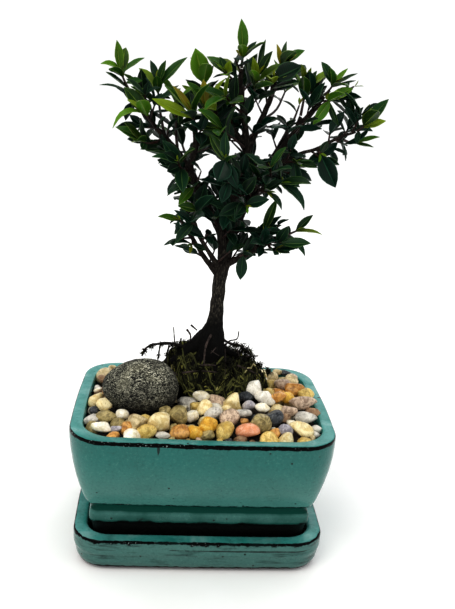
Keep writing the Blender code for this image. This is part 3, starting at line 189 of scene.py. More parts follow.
# Leafy stems. Each has the wood run and the point of it that it grows from, its own points
# (x, z, depth y), the number of leaf pairs that follow the rule, and the listed leaves:
# (place along the twig, tip x, tip z, depth from the root to the tip, width, turn, bulge, age).
STEMS = {
    "left_tip": ("left_up", 8, [(-53, 272, 17), (-57, 280, 16)], 1, [
        (1.0, -59, 296, -2, 6, 55, 0.04, 0.8), (1.0, -68, 282.5, -3, 5.5, 30, 0.22, 0.8),
        (1.0, -43, 287.5, 4, 5, 20, 0.08, 0.6), (0.5, -65, 278.5, -6, 5.5, 25, 0.05, 0.3),
        (0.15, -68.5, 271, -4, 4.5, 5, 0.14, 0.2), (0.8, -44, 275, 4, 5.5, 40, 0.1, 0.5)]),
    "left_back": ("left_up", 7, [(-42, 262, 26), (-44, 269, 30)], 3, [
        (0.9, -42.5, 279, -3, 6, 60, 0.05, 0.6)]),
    "left_crest": ("left_up", 6, [(-33, 256, 23), (-35, 268, 26), (-35.5, 275, 26)], 2, [
        (1.0, -40, 286.5, 2, 5.5, 55, 0.04, 0.2), (1.0, -31.2, 287, -4, 5, 45, 0.03, 0.5),
        (0.95, -19, 289.5, -2, 6.5, 60, 0.08, 0.5)]),
    "left_arch": ("left_up", 6, [(-36, 249, 10), (-41, 256, 5), (-43, 258.5, 3)], 1, [
        (1.0, -52.5, 264, -3, 6, 35, 0.06, 0.9), (0.9, -60.5, 247, -5, 6, 30, 0.34, 0.8),
        (0.3, -30, 256, -7, 6, 60, 0.1, 0.1)]),
    "left_edge": ("left_up", 6, [(-37, 240.5, 9), (-44, 241, 5)], 2, [
        (1.0, -54, 251.5, -2, 5.5, 45, 0.08, 0.7), (0.9, -43, 236.2, -3, 4.5, 40, 0.1, 0.3)]),
    "left_inner": ("inner_left", 2, [(-14, 256, 3.5), (-15, 260, 2)], 2, [
        (0.5, -38.5, 265.5, -5, 6.5, 60, 0.04, 0.9), (1.0, -27, 273.5, -2, 5.5, 55, 0.05, 1.0),
        (0.4, 1, 250.5, -5, 5.5, 60, 0.06, 0.6)]),
    "left_veil": ("left_up", 5, [(-24, 246, 27), (-24, 256, 33), (-24, 263, 35)], 3, []),
    "left_front": ("left_up", 4, [(-20, 227, 2), (-22, 231, -6)], 2, [
        (1.0, -30.5, 235.5, -5, 6.5, 65, 0.06, 0.1), (0.7, -28, 224.5, -4, 7, 65, 0.06, 0.1)]),
    "left_curl": ("left_up", 3, [(-11, 216, 7), (-14, 218.5, 3)], 1, [
        (1.0, -27.5, 210, -5, 5.5, 40, 0.24, 0.2), (0.6, -20.5, 205, -3, 6, 55, 0.16, 0.7)]),
    "left_rear": ("left_up", 3, [(-14, 220, 24), (-22, 228, 31)], 3, []),
    "tip_twin": ("upper_left", 3, [(-10, 271.5, 22), (-9, 276, 20)], 1, [
        (1.0, -15, 294.5, -3, 11, 75, 0.03, 0.8), (0.9, -17.6, 289.5, 4, 4.5, 10, 0.05, 0.2),
        (1.0, -4, 286, 3, 5.5, 50, 0.06, 0.4)]),
    "gold_pair": ("upper_left", 2, [(-7, 259, 15), (-8, 263, 11)], 1, [
        (1.0, -9.5, 278, -2, 6, 70, 0.04, 1.0), (1.0, 3.5, 279.5, -2, 4.5, 30, 0.06, 0.9),
        (0.6, 6, 268, -6, 7, 60, 0.08, 0.1)]),
    "upper_rear": ("upper_left", 1, [(-2, 255, 34), (-8, 259, 41)], 3, []),
    "apex": ("centre", 7, [(12, 289, 19), (12.5, 293, 18)], 1, [(1.0, 10, 312, -3, 7, 65, 0.03, 0.7),
        (0.8, 8, 295, -4, 4.5, 50, 0.05, 1.0), (1.0, 19.5, 300.5, 5, 4.5, 30, 0.05, 0.2)]),
    "apex_right": ("centre", 5, [(20, 273, 17), (22.5, 283, 14)], 2, [
        (1.0, 24.5, 302, 4, 5, 25, 0.04, 0.3), (1.0, 29, 296, -3, 6, 50, 0.1, 0.4),
        (0.8, 18, 292, -3, 5.5, 60, 0.04, 0.9)]),
    "apex_left": ("centre", 6, [(6, 280, 13), (3, 282.5, 10)], 1, [
        (1.0, -1, 290.8, 1, 5.5, 60, 0.04, 0.4), (0.9, 5, 289, -3, 5.5, 60, 0.04, 0.9),
        (1.0, -6.5, 289, -2, 3, 20, 0.12, 0.6)]),
    "apex_rear": ("centre", 5, [(14, 268, 34), (14, 276, 41), (14, 281, 43)], 3, []),
    "crown_front": ("centre", 5, [(8, 265, 9), (4, 269, 2)], 3, []),
    "crown_middle": ("centre", 4, [(10, 246, 8), (3, 250, -1)], 3, []),
    "crown_rear": ("centre", 4, [(12, 248, 36), (8, 256, 46)], 3, []),
    "low_rear": ("centre", 1, [(18, 194, 30), (19, 203, 38)], 3, []),
    "gilt_top": ("upper_right", 3, [(34, 286, 26), (35.5, 290, 24)], 1, [
        (1.0, 47.5, 297.5, -3, 6.5, 50, 0.08, 0.6), (1.0, 36.5, 301.8, 4, 4.5, 40, 0.03, 0.4),
        (0.9, 31, 300, -3, 4.5, 50, 0.03, 1.0), (1.0, 43, 295, -8, 5.5, 50, 0.04, 1.0)]),
    "dark_fan": ("upper_right", 2, [(30, 277, 15), (30.5, 281, 12)], 2, [
        (1.0, 46.5, 289, -3, 12, 70, 0.08, 0.1)]),
    "upper_back": ("upper_right", 1, [(34, 264, 38), (38, 274, 44)], 3, []),
    "right_tip": ("right", 6, [(64, 277, 21), (66, 280, 19.5)], 1, [
        (1.0, 57.5, 292, -2, 7, 60, 0.05, 0.3), (1.0, 79.5, 287, -2, 4.5, 30, 0.05, 0.3),
        (1.0, 79, 283, -6, 4, 25, 0.03, 0.2), (0.9, 73.5, 289.5, 3, 4, 35, 0.06, 0.8),
        (0.6, 65.5, 271, -5, 4, 60, 0.05, 0.9)]),
    "new_growth": ("right", 4, [(49, 264, 24), (49.5, 274, 24), (50, 279, 24)], 2, [
        (1.0, 46, 290, -3, 4, 60, 0.04, 0.9), (1.0, 52, 288.5, -3, 4, 60, 0.04, 0.9),
        (0.9, 55.5, 287, 3, 4.5, 60, 0.05, 0.3)]),
    "right_drop": ("right", 5, [(60, 268, 15), (65.5, 271.5, 12)], 1, [
        (1.0, 56, 256.5, -3, 6.5, 75, 0.06, 0.7), (1.0, 71.5, 257, -1, 4.5, 40, 0.08, 0.3)]),
    "right_hoop": ("right", 5, [(61, 268, 29), (72, 277.5, 30), (78, 279.5, 29)], 0, [
        (0.55, 78, 263.5, -2, 4, 40, 0.08, 0.2), (1.0, 81, 263, -2, 5, 45, 0.26, 0.2)]),
    "arm_tip": ("right_arm", 5, [(85, 256, 12), (87, 258.5, 11)], 1, [
        (1.0, 99.5, 274, -2, 7, 60, 0.05, 0.4), (0.9, 88.5, 270.5, -4, 4.5, 40, 0.05, 0.9),
        (1.0, 99.5, 261.5, -4, 5.5, 50, 0.05, 0.9), (0.4, 78, 264, 2, 5.5, 50, 0.06, 0.1),
        (0.6, 84, 247, -3, 4.5, 40, 0.05, 0.1)]),
    "arm_under": ("right_arm", 4, [(78, 248, 17), (83, 247.5, 18)], 0, [
        (1.0, 97, 252, -3, 4.5, 35, 0.07, 0.7), (1.0, 94, 245.8, -2, 4, 35, 0.03, 0.6)]),
    "arm_leaf": ("right_arm", 3, [(62, 240.5, 10)], 0, [(1.0, 73.5, 220.5, -3, 11, 75, 0.16, 0.0),
        (0.9, 66, 248, 3, 4.5, 40, 0.05, 0.2)]),
    "arm_inner": ("right_arm", 1, [(44, 234.3, 12), (47.5, 234.6, 9)], 1, [
        (1.0, 50.5, 219.5, -2, 6.5, 80, 0.08, 0.1), (1.0, 59, 235.5, -2, 5.5, 5, 0.06, 0.3)]),
    "long_arch": ("front_right", 1, [(34, 217.5, 4), (40, 221.5, -4)], 1, [
        (1.0, 55.8, 205.5, -3, 5.5, 45, 0.26, 0.1)]),
    "short_arch": ("front_right", 1, [(28, 216.5, -3), (32, 215.5, -7)], 1, [
        (1.0, 42, 205.3, -2, 4.5, 40, 0.22, 0.2)]),
    "right_front": ("front_right", 2, [(34, 226, -8), (33, 230, -12)], 3, []),
    "right_rear": ("right", 2, [(36, 223, 31), (40, 221, 38)], 3, []),
    "back_left_tip": ("back_left", 3, [(-20, 241, 58), (-22, 249, 61)], 3, []),
    "back_left_mid": ("back_left", 2, [(-17, 221, 52), (-22, 226, 56)], 3, []),
    "back_left_low": ("back_left", 1, [(-5, 205, 41), (-11, 206, 47)], 3, []),
    "back_right_tip": ("back_right", 3, [(45, 260, 54), (47, 267, 56)], 3, []),
    "back_right_mid": ("back_right", 1, [(22, 232, 44), (19, 238, 54)], 3, []),
    "low_upright": ("right_low", 2, [(29, 186, 4), (32, 191, 2)], 1, [
        (1.0, 38.8, 212.5, -2, 5.5, 60, 0.05, 0.5), (1.0, 44.5, 192, -3, 5.5, 50, 0.2, 0.1)]),
    "low_tip": ("right_low", 4, [(48, 191, 2), (52, 193, 1)], 0, [
        (1.0, 61.5, 203.5, -1, 5, 50, 0.05, 0.3), (1.0, 68.5, 191.5, -2, 4, 25, 0.12, 0.9),
        (0.4, 59, 177.5, -4, 4.5, 30, 0.16, 0.2), (0.3, 47.5, 196, 5, 4.5, 60, 0.05, 0.1)]),
    "low_spread": ("right_low", 3, [(37, 181.5, -2), (40, 181, -5)], 1, [
        (1.0, 49.5, 179, -3, 5, 30, 0.1, 0.2)]),
    "low_back": ("right_low", 2, [(26, 184, 19), (28, 190, 25)], 3, []),
    "low_hang": ("right_low", 1, [(19, 176, 5), (21, 177, 4)], 1, [
        (1.0, 19.8, 160.5, 0, 7, 85, 0.06, 0.1)]),
    "left_low_tip": ("left_low", 3, [(-17.5, 194, 3), (-19, 196, 2)], 0, [
        (1.0, -32.5, 197.5, -3, 5.5, 40, 0.1, 0.7), (0.5, -22, 187, -3, 4, 25, 0.08, 0.3),
        (0.9, -17, 206, 4, 4.5, 50, 0.05, 0.2), (0.5, -10, 200, 4, 4.5, 50, 0.05, 0.2)]),
    "left_low_leaf": ("left_low", 2, [(-11, 181.5, 3)], 0, [(1.0, -28.5, 179.8, -3, 5, 15, 0.16, 0.1),
        (1.0, -2, 178, -4, 4, 40, 0.08, 0.2)]),
    "fork_tip": ("left_fork", 3, [(-10.5, 199, -2), (-9, 203, -3)], 1, [
        (1.0, -21, 204.5, -4, 6, 55, 0.14, 0.6)]),
    "front_tip": ("front", 3, [(7, 230, -17), (6, 234, -18.5)], 1, [
        (1.0, 2, 220, -4, 11, 80, 0.14, 0.0), (1.0, 14.5, 216.5, -4, 7, 80, 0.1, 0.0),
        (1.0, 5, 250, -2, 6, 60, 0.06, 0.2)]),
    "front_broad": ("front", 2, [(18, 209, -10), (20, 207, -13)], 2, [
        (1.0, 34, 211.5, -4, 7, 70, 0.08, 0.1), (0.8, 4, 200, -4, 7, 70, 0.08, 0.1)]),
}

# Outline of the crown and the openings in it that show the sky, as the eye sees them on the
# trunk's plane.
CROWN_OUTLINE = [
    (-66, 284), (-59, 295), (-43, 288), (-19, 290), (-14, 294), (-6, 289), (6, 291), (12, 310),
    (20, 302), (37, 302), (48, 298), (54, 288), (60, 292), (74, 289), (80, 284), (79, 276),
    (88, 272), (99, 274), (101, 261), (96, 251), (82, 246), (77, 232), (73, 220), (62, 236),
    (60, 213), (52, 208), (44, 206), (62, 203), (67, 192), (59, 178), (27, 174), (20, 161),
    (13, 172), (-4, 176), (-28, 180), (-15, 188), (-32, 196), (-22, 204), (-28, 210), (-24, 220),
    (-30, 226), (-44, 236), (-60, 247), (-52, 258), (-54, 264), (-50, 267), (-68, 271)]
SKY = [(15, 244, 4.5), (27, 241, 3.5), (39, 249, 3), (22, 258, 2.5), (31, 265, 3.5), (41, 262, 3),
       (48, 262, 2.5), (54, 246, 6), (63, 247, 4), (37, 273, 2), (15, 272, 1.5), (35, 205, 2.5),
       (24, 213, 3.5), (36, 215, 2.5), (-6, 194, 3), (-5, 228, 2.5), (-9, 222, 1.5), (-2, 172, 2.5),
       (-12, 184, 2), (-23, 240, 2), (-18, 240, 1.5), (54, 262, 1.5), (27, 199, 4),
       (25.5, 203, 5.5), (47, 207, 4.5), (-6, 183, 2.5), (2.5, 194, 3), (7.5, 185, 3.5), (9.5, 175, 3),
       (9, 241, 3), (35, 244, 3.5), (46, 269, 2.5), (21.5, 263, 2), (-6.5, 230.5, 2)]


# Finishes are named for what they are made of. Their colours are sRGB hex values.
def linear(value):
    return value / 12.92 if value <= 0.04045 else ((value + 0.055) / 1.055) ** 2.4


def colour(code):
    """An sRGB hex colour as linear red, green and blue with full alpha."""
    return tuple(linear(int(code[place:place + 2], 16) / 255) for place in (0, 2, 4)) + (1.0,)


def feed(tree, node, inputs):
    """Sets a node's inputs, or links those that are another node's output."""
    for name, value in inputs.items():
        if isinstance(value, bpy.types.NodeSocket):
            tree.links.new(value, node.inputs[name])
        else:
            node.inputs[name].default_value = value


def add(tree, kind, inputs=None, output=0, **settings):
    """Adds a node with its settings and inputs, and gives one of its outputs."""
    made = tree.nodes.new("ShaderNode" + kind)
    for name, value in settings.items():
        setattr(made, name, value)
    feed(tree, made, inputs or {})
    return made.outputs[output]


def per_mm(size):
    """Scale of a pattern on Object coordinates whose cells are so many millimetres wide."""
    return 1.0 / (size * MM)


class Finish:
    """A material on Object coordinates, with short ways to add the nodes that finishes share."""

    def __init__(self, name):
        self.material = bpy.data.materials.new(name)
        self.material.use_nodes = True
        self.tree = self.material.node_tree
        self.places = self.add("TexCoord", output="Object")
        self.skin = None

    def add(self, kind, inputs=None, output=0, **settings):
        return add(self.tree, kind, inputs, output, **settings)

    def drawn(self, **inputs):
        """The places moved, turned or stretched, for a pattern that runs one way."""
        return self.add("Mapping", {"Vector": self.places, **inputs})

    def noise(self, size, detail=2.0, places=None, **inputs):
        """A noise whose cells are so many millimetres wide."""
        inputs["Vector"] = self.places if places is None else places
        return self.add("TexNoise", {"Scale": per_mm(size), "Detail": detail, **inputs}, "Fac")

    def fact(self, name):
        """A number that the mesh stores for each vertex."""
        return self.add("Attribute", output="Fac", attribute_name=name)

    def reckon(self, operation, *values):
        return self.add("Math", dict(enumerate(values)), operation=operation)

    def span(self, value, start, end, most=1.0, least=0.0):
        """A share that goes from least to most while a value goes from start to end."""
        return self.add("MapRange", {0: value, 1: start, 2: end, 3: least, 4: most})

    def along(self, axis, start, end, most=1.0, least=0.0):
        """A share that goes from least to most between two places on an axis, in millimetres."""
        place = self.add("SeparateXYZ", {0: self.places}, axis)
        return self.span(place, start * MM, end * MM, most, least)

    def ramp(self, share, *stops):
        """Colours that blend from one stop to the next."""
        blended = self.add("ValToRGB", {"Fac": share})
        elements = blended.node.color_ramp.elements
        for number, (place, code) in enumerate((stops[0], stops[-1], *stops[1:-1])):
            stop = elements[number] if number < 2 else elements.new(place)
            stop.position = place
            stop.color = colour(code)
        return blended

    def mix(self, share, under, over):
        """One colour over another, by a share."""
        under, over = (colour(tint) if isinstance(tint, str) else tint for tint in (under, over))
        return self.add("MixRGB", {0: share, 1: under, 2: over})

    def lay(self, share, tint):
        """Lays a colour on the skin, by a share."""
        self.skin = self.mix(share, self.skin, tint)

    def stain(self, value, start, end, most, tint):
        """Lays a colour on while a value goes from start to end, and gives the share."""
        share = self.span(value, start, end, most)
        self.lay(share, tint)
        return share

    def brighten(self, value):
        self.skin = self.add("HueSaturation", {"Color": self.skin, "Value": value})

    def relief(self, height, strength, depth, under=None):
        """A surface roughened by a pattern, its depth in millimetres."""
        inputs = {"Height": height, "Strength": strength, "Distance": depth * MM}
        if under is not None:
            inputs["Normal"] = under
        return self.add("Bump", inputs)

    def close(self, roughness, specular=0.5, relief=None):
        """Links the skin, sets how it shines and gives the material."""
        inputs = {"Base Color": self.skin, "Roughness": roughness, "Specular IOR Level": specular}
        if relief is not None:
            inputs["Normal"] = relief
        feed(self.tree, self.tree.nodes["Principled BSDF"], inputs)
        return self.material


# Single flaws of the glaze, each by its middle and its reach along the three axes: a run under the
# front rim, a notch on the right rim, a chip on the tray's edge and a kiln streak along its front.
GLAZE_FLAWS = [((-26, -60.5, 81.5), (0.8, 4.0, 3.4)), ((77, 9.5, 85.3), (2.2, 1.2, 1.5)),
               ((56.6, -57, 20.4), (3.2, 2.0, 0.9)), ((30, -57, 15.9), (46.0, 4.0, 0.5))]


def teal_glaze():
    """Teal stoneware glaze over dark clay: satin gloss, grey-green where it is thick and even, dark
    where it pools, black-brown where it runs thin over an edge, fine specks and a few pinholes. The pools'
    deep green is also painted as shade in the groove under the body and on the foot band; the lips' paler
    streaks are partly painted reflection, their front is darkened as painted shade, and painted glints lie
    along the thin edges."""
    glaze = Finish("teal_stoneware_glaze")
    # From the tray's foot at 0 to the pot's rim at 86 mm.
    level = glaze.along("Z", 0.0, 86.0)
    glaze.skin = glaze.ramp(level, (0.0, "3c635d"), (0.2, "4a726c"), (0.34, "285a53"), (0.5, "4f837c"),
                            (0.64, "42766f"), (0.85, "2a6b65"), (1.0, "20655f"))
    cloud = glaze.noise(26, 4.0)
    glaze.stain(cloud, 0.35, 0.75, 0.4, "2f605a")
    # The lips are paler; their pale streaks are partly thick glaze and partly a painted reflection.
    streak = glaze.noise(18, 5.0, Distortion=1.0)
    lip_glaze_and_reflection = glaze.ramp(streak, (0.34, "33857f"), (0.5, "4b9590"), (0.7, "79aaa6"))
    # Painted shade: both lips are darker along their front.
    lip_glaze_and_reflection = glaze.mix(glaze.along("Y", -48, -58, 0.5), lip_glaze_and_reflection, "1a6a62")
    glaze.lay(glaze.fact("lip"), lip_glaze_and_reflection)
    # Specks about a millimetre across.
    speck = glaze.noise(1.6, 4.0, Roughness=0.7)
    glaze.stain(speck, 0.54, 0.72, 0.45, "1a443e")
    glaze.stain(speck, 0.44, 0.30, 0.3, "5d9185")
    # Pools of glaze are deep green, and the same green is painted as shade in the groove under the body and
    # on the foot band; both end in a soft wave.
    pool_wave = glaze.noise(14, 3.0)
    pool_and_shade_edge = glaze.reckon("ADD", glaze.fact("pool_and_shade"), glaze.reckon("MULTIPLY", pool_wave, 0.7))
    pool_and_shade = glaze.stain(pool_and_shade_edge, 0.62, 0.95, 1.0, "094239")
    # Pinholes lie about 10 mm apart and show the dark clay.
    pin = glaze.add("TexVoronoi", {"Vector": glaze.places, "Scale": per_mm(10)}, "Distance")
    pinholes = glaze.stain(pin, 0.08, 0.045, 1.0, "0f2420")
    # Where the glaze runs thin the dark body shows through, broken up by a 5 mm noise.
    breaks = glaze.noise(5, 6.0, Roughness=0.65)
    thin = glaze.reckon("ADD", glaze.fact("thin"), glaze.reckon("MULTIPLY", breaks, 1.5))
    edge = glaze.stain(thin, 1.26, 1.42, 1.0, "010202")
    # Painted glints: bright specks under a millimetre wide along the thin edges, most of them on the left.
    painted_glint = glaze.reckon("MULTIPLY", glaze.span(glaze.noise(0.9), 0.67, 0.73), edge)
    painted_glint = glaze.reckon("MULTIPLY", painted_glint, glaze.along("X", 10, -20, 1.0, 0.25))
    glaze.lay(painted_glint, "a9bcb8")
    # Dark brushed streaks run along the tray, six times as long as they are high.
    stroke = glaze.noise(3.2, 5.0, glaze.drawn(Scale=(0.16, 0.16, 1.0)), Roughness=0.6)
    stroke = glaze.span(stroke, 0.52, 0.68, 0.75)
    glaze.lay(glaze.reckon("MULTIPLY", stroke, glaze.along("Z", 22.5, 20.0)), "0f2c2a")
    for middle, reach in GLAZE_FLAWS:
        flaw = glaze.drawn(Location=[-place / size for place, size in zip(middle, reach)],
                           Scale=[1 / (size * MM) for size in reach])
        flaw = glaze.add("VectorMath", {0: flaw}, "Value", operation="LENGTH")
        flaw = glaze.reckon("MULTIPLY_ADD", breaks, 1.5, flaw)
        glaze.stain(flaw, 1.85, 1.55, 0.85, "050b0b")
    # The glaze stops short of the foot in a ragged line and leaves fine dark clay bare.
    ragged = glaze.reckon("MULTIPLY_ADD", pool_wave, 1.2, -0.6)
    ragged = glaze.reckon("ADD", ragged, glaze.fact("bare"))
    bare = glaze.span(glaze.reckon("ADD", breaks, ragged), 0.85, 1.1)
    grain = glaze.noise(1.5, 6.0)
    glaze.lay(bare, glaze.ramp(grain, (0.3, "020303"), (0.75, "0a0908")))
    gloss = glaze.span(cloud, 0.3, 0.7, 0.3, 0.16)
    gloss = glaze.mix(pool_and_shade, gloss, (0.45, 0.45, 0.45, 1.0))
    gloss = glaze.mix(bare, gloss, (0.4, 0.4, 0.4, 1.0))
    # Thin edges and pools, with the groove and foot band painted as shade, shine less.
    dull = glaze.span(glaze.reckon("MAXIMUM", edge, pool_and_shade), 0.0, 1.0, 0.06, 0.3)
    waves = glaze.relief(glaze.reckon("SUBTRACT", glaze.noise(4, 3.0), pinholes), 0.4, 0.16)
    return glaze.close(gloss, dull, glaze.relief(grain, bare, 0.25, waves))


def granite():
    """River-worn granite: a rough grey skin of interlocked pale feldspar and black mica grains."""
    stone = Finish("worn_granite")
    drawn = stone.drawn(Rotation=(0.3, 0.5, 0.2), Scale=(0.6, 1.0, 1.2))
    grain = stone.noise(1.2, 5.0, drawn, Roughness=0.7, Distortion=1.8)
    stone.skin = stone.ramp(grain, (0.42, "030304"), (0.475, "171816"), (0.52, "585950"),
                            (0.565, "a9a894"), (0.63, "efecd8"))
    patch = stone.noise(11, 3.0)
    stone.stain(patch, 0.46, 0.64, 0.6, "1d1e1c")
    stone.stain(patch, 0.46, 0.32, 0.22, "aaa78f")
    # The egg is darker towards its foot.
    stone.lay(stone.along("Z", 110, 88, 0.8), "0f100f")
    pits = stone.noise(1.2, 6.0)
    return stone.close(0.78, 0.15, stone.relief(stone.reckon("ADD", pits, grain), 0.7, 0.4))


# River pebbles by kind: main colour, second colour, vein or spot colour and its share, roughness.
PEBBLE_KINDS = {
    "cream": ("efe3b8", "d9c48c", "a48a58", 0.25, 0.30),
    "honey": ("dcc47c", "b89c54", "7c6638", 0.30, 0.28),
    "amber": ("d2a460", "b07c3c", "6c4426", 0.35, 0.28),
    "yellow": ("e2be5c", "cc9c38", "9c7028", 0.30, 0.28),
    "salmon": ("dd9a74", "c88460", "eec4a8", 0.35, 0.30),
    "pink": ("d2bda6", "b09a86", "7c6656", 0.45, 0.42),
    "tan": ("cfc09a", "ad9c74", "7c6e50", 0.35, 0.38),
    "olive": ("b5a676", "8e8054", "5a5036", 0.40, 0.34),
    "grey": ("c8c4ba", "a4a098", "efebe0", 0.35, 0.40),
    "lilac": ("aba7a8", "86828a", "d0ccd0", 0.40, 0.42),
    "charcoal": ("3c4044", "22252a", "7c8084", 0.30, 0.34),
    "white": ("f4f0e2", "ded6ba", "b4a47c", 0.20, 0.34),
    "quartz": ("f2efe6", "d8d4c8", "b0a894", 0.25, 0.36),
    "brown": ("96785c", "705640", "b8a080", 0.45, 0.36),
}


def river_pebble(kind):
    """Tumbled river pebble: a satin skin of one colour with soft cloudy bands and fine spots."""
    main_tint, second, spots, spot_share, roughness = PEBBLE_KINDS[kind]
    pebble = Finish("river_pebble_" + kind)
    cloud = pebble.noise(6, 4.0, Distortion=1.2)
    pebble.skin = pebble.ramp(cloud, (0.4, second), (0.55, main_tint))
    # Mineral veins drawn out four times as long as they are wide, turned off the pot's axes.
    turned = pebble.drawn(Rotation=(0.7, 0.5, 0.3), Scale=(1.0, 0.25, 1.0))
    veins = pebble.noise(3.5, 4.0, turned, Distortion=1.5)
    pebble.stain(veins, 0.52, 0.64, 1.5 * spot_share, spots)
    grain = pebble.noise(0.9, 4.0)
    pebble.stain(grain, 0.52, 0.68, 1.4 * spot_share, spots)
    pebble.brighten(pebble.span(pebble.fact("tone"), 0.0, 1.0, 1.24, 0.88))
    height = pebble.reckon("MULTIPLY_ADD", veins, 2.0, grain)
    return pebble.close(roughness, 0.3, pebble.relief(height, 0.5, 0.25))


def long_moss():
    """Damp long-fibred moss: almost black within, with olive, yellow-green and straw strands."""
    moss = Finish("long_fibred_moss")
    moss.skin = moss.ramp(moss.fact("tone"), (0.0, "020202"), (0.5, "0d0d08"), (0.66, "30321e"),
                          (0.8, "64663a"), (0.92, "95914c"), (1.0, "bcb384"))
    moss.brighten(moss.span(moss.noise(5, 3.0), 0.3, 0.7, 1.2, 0.55))
    return moss.close(0.7, 0.08)


def cherry_bark():
    """Bark of a young brush cherry: matt grey-brown with fine upright cracks and small scars. It
    is redder on thin wood and nearly black from the top of the root flare down."""
    bark = Finish("brush_cherry_bark")
    upright = bark.drawn(Scale=(1.0, 1.0, 0.32))
    crack = bark.noise(0.9, 6.0, upright, Roughness=0.6, Distortion=0.4)
    bark.skin = bark.ramp(crack, (0.34, "080807"), (0.5, "201e1b"), (0.6, "403c35"), (0.7, "6a6558"))
    bark.stain(bark.noise(1.1), 0.7, 0.78, 0.5, "8d8a7c")
    bark.lay(bark.reckon("MULTIPLY", bark.fact("thin"), 0.55), "1b120f")
    bark.lay(bark.along("Z", 142, 132, 0.93), "030303")
    return bark.close(0.85, 0.15, bark.relief(crack, 0.8, 0.5))


def pale_root():
    """Exposed roots washed clean: thin pinkish-brown skin with darker rings."""
    root = Finish("washed_root_skin")
    rings = root.ramp(root.noise(2, 4.0), (0.35, "241f1d"), (0.7, "564a45"))
    root.skin = root.mix(root.fact("tone"), "0a0806", rings)
    return root.close(0.7, 0.15)


def leaf_skin(name, under):
    """Brush cherry leaf: waxy and deep green when old, bright to yellow-green and bronze when
    young, with a pale midrib, faint side veins and a duller underside."""
    leaf = Finish(name)
    age = leaf.fact("age")
    leaf.skin = leaf.ramp(age, (0.0, "09271b"), (0.2, "0b2b1a"), (0.45, "174016"), (0.65, "2a5610"),
                          (0.82, "4f7814"), (0.92, "75861c"), (1.0, "807420"))
    blotch = leaf.noise(6, 3.0)
    mixed = leaf.reckon("ADD", blotch, leaf.fact("tone"))
    leaf.brighten(leaf.span(mixed, 0.3, 1.7, 1.35, 0.3))
    if under:
        leaf.lay(0.3, "3f5a3a")
    places = leaf.add("UVMap", uv_map="UVMap")
    across, along = (leaf.add("SeparateXYZ", {0: places}, axis) for axis in "XY")
    # The blade lightens from its stalk to its tip.
    leaf.brighten(leaf.span(along, 0.0, 1.0, 1.2, 0.7))
    from_rib = leaf.reckon("ABSOLUTE", leaf.reckon("SUBTRACT", across, 0.5))
    # Side veins leave the midrib at a slant, about 16 on each side of the leaf.
    slant = leaf.reckon("MULTIPLY_ADD", from_rib, -0.55, along)
    comb = leaf.reckon("SINE", leaf.reckon("MULTIPLY", slant, 100.0))
    vein = leaf.span(comb, 0.75, 1.0, 0.22)
    rib = leaf.span(from_rib, 0.05, 0.02, 0.75)
    rim = leaf.span(from_rib, 0.44, 0.48, 0.6)
    lines = leaf.reckon("MAXIMUM", leaf.reckon("MAXIMUM", vein, rib), rim)
    leaf.lay(lines, leaf.mix(age, "24503a", "8aa03a"))
    # The stalk end is red-brown as the twig is.
    leaf.stain(along, 0.1, 0.04, 1.0, "35190f")
    relief = leaf.relief(leaf.reckon("SUBTRACT", lines, blotch), 0.35, 0.15)
    return leaf.close(0.6 if under else 0.34, 0.04 if under else 0.14, relief)


# Finishes of one mottled pattern: its size in millimetres and its detail, two tones with their
# stops, roughness, and the strength and depth of the relief.
PLAIN_FINISHES = {
    # Damp soil and fine grit between the pebbles: nearly black, with a few pale grains.
    "damp_grit": (1.2, 6.0, (0.4, "100c09"), (0.72, "4a3d2d"), 0.9, 1.0, 0.8),
    # Green wood of this year's stems: smooth, dark red-brown and a little waxy.
    "young_twig_skin": (2.5, 4.0, (0.35, "160a08"), (0.7, "3a1c14"), 0.5, 0.0, 0.0),
    # Moulded polyethylene drain mesh: matt black with a faint grain.
    "black_polyethylene_mesh": (0.6, 2.0, (0.3, "0e0e0f"), (0.7, "1b1b1c"), 0.6, 0.0, 0.0),
    # Potting soil: dark brown crumbs with paler bark and grit.
    "potting_soil": (2.2, 6.0, (0.35, "0f0a07"), (0.72, "3f2e20"), 0.95, 1.0, 1.0),
    # Seamless white studio paper: matt, even and very pale.
    "studio_paper": (40, 2.0, (0.3, "fbfbfa"), (0.7, "fefefe"), 0.9, 0.0, 0.0),
}


def plain_finish(name):
    size, detail, dark, pale, roughness, strength, depth = PLAIN_FINISHES[name]
    plain = Finish(name)
    mottle = plain.noise(size, detail)
    plain.skin = plain.ramp(mottle, dark, pale)
    relief = plain.relief(mottle, strength, depth) if strength else None
    return plain.close(roughness, relief=relief)


# Small tools of the modelling.
def work_on(item):
    """Makes an object the only selected one, and the active one."""
    for other in bpy.context.selected_objects:
        other.select_set(False)
    item.select_set(True)
    bpy.context.view_layer.objects.active = item


def apply_modifier(item, kind, **settings):
    """Adds a modifier, sets it and applies it."""
    work_on(item)
    change = item.modifiers.new(kind.lower(), kind)
    for name, value in settings.items():
        setattr(change, name, value)
    bpy.ops.object.modifier_apply(modifier=change.name)


def wear(item, *finishes):
    """Gives a piece its finishes, in the order of its material slots."""
    kept = item.data.materials
    for number, finish in enumerate(finishes):
        if number < len(kept):
            kept[number] = finish
        else:
            kept.append(finish)


def settle(item, name, finishes, nodes=(), angle=60.0):
    """Finishes, smooths and names a piece, and says what it is on the part."""
    wear(item, *finishes)
    work_on(item)
    bpy.ops.object.shade_smooth_by_angle(angle=math.radians(angle))
    bpy.ops.object.transform_apply(location=True, rotation=True, scale=True)
    item.name = name
    item.data.name = name
    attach(item, BODY)
    if nodes:
        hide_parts(*nodes)


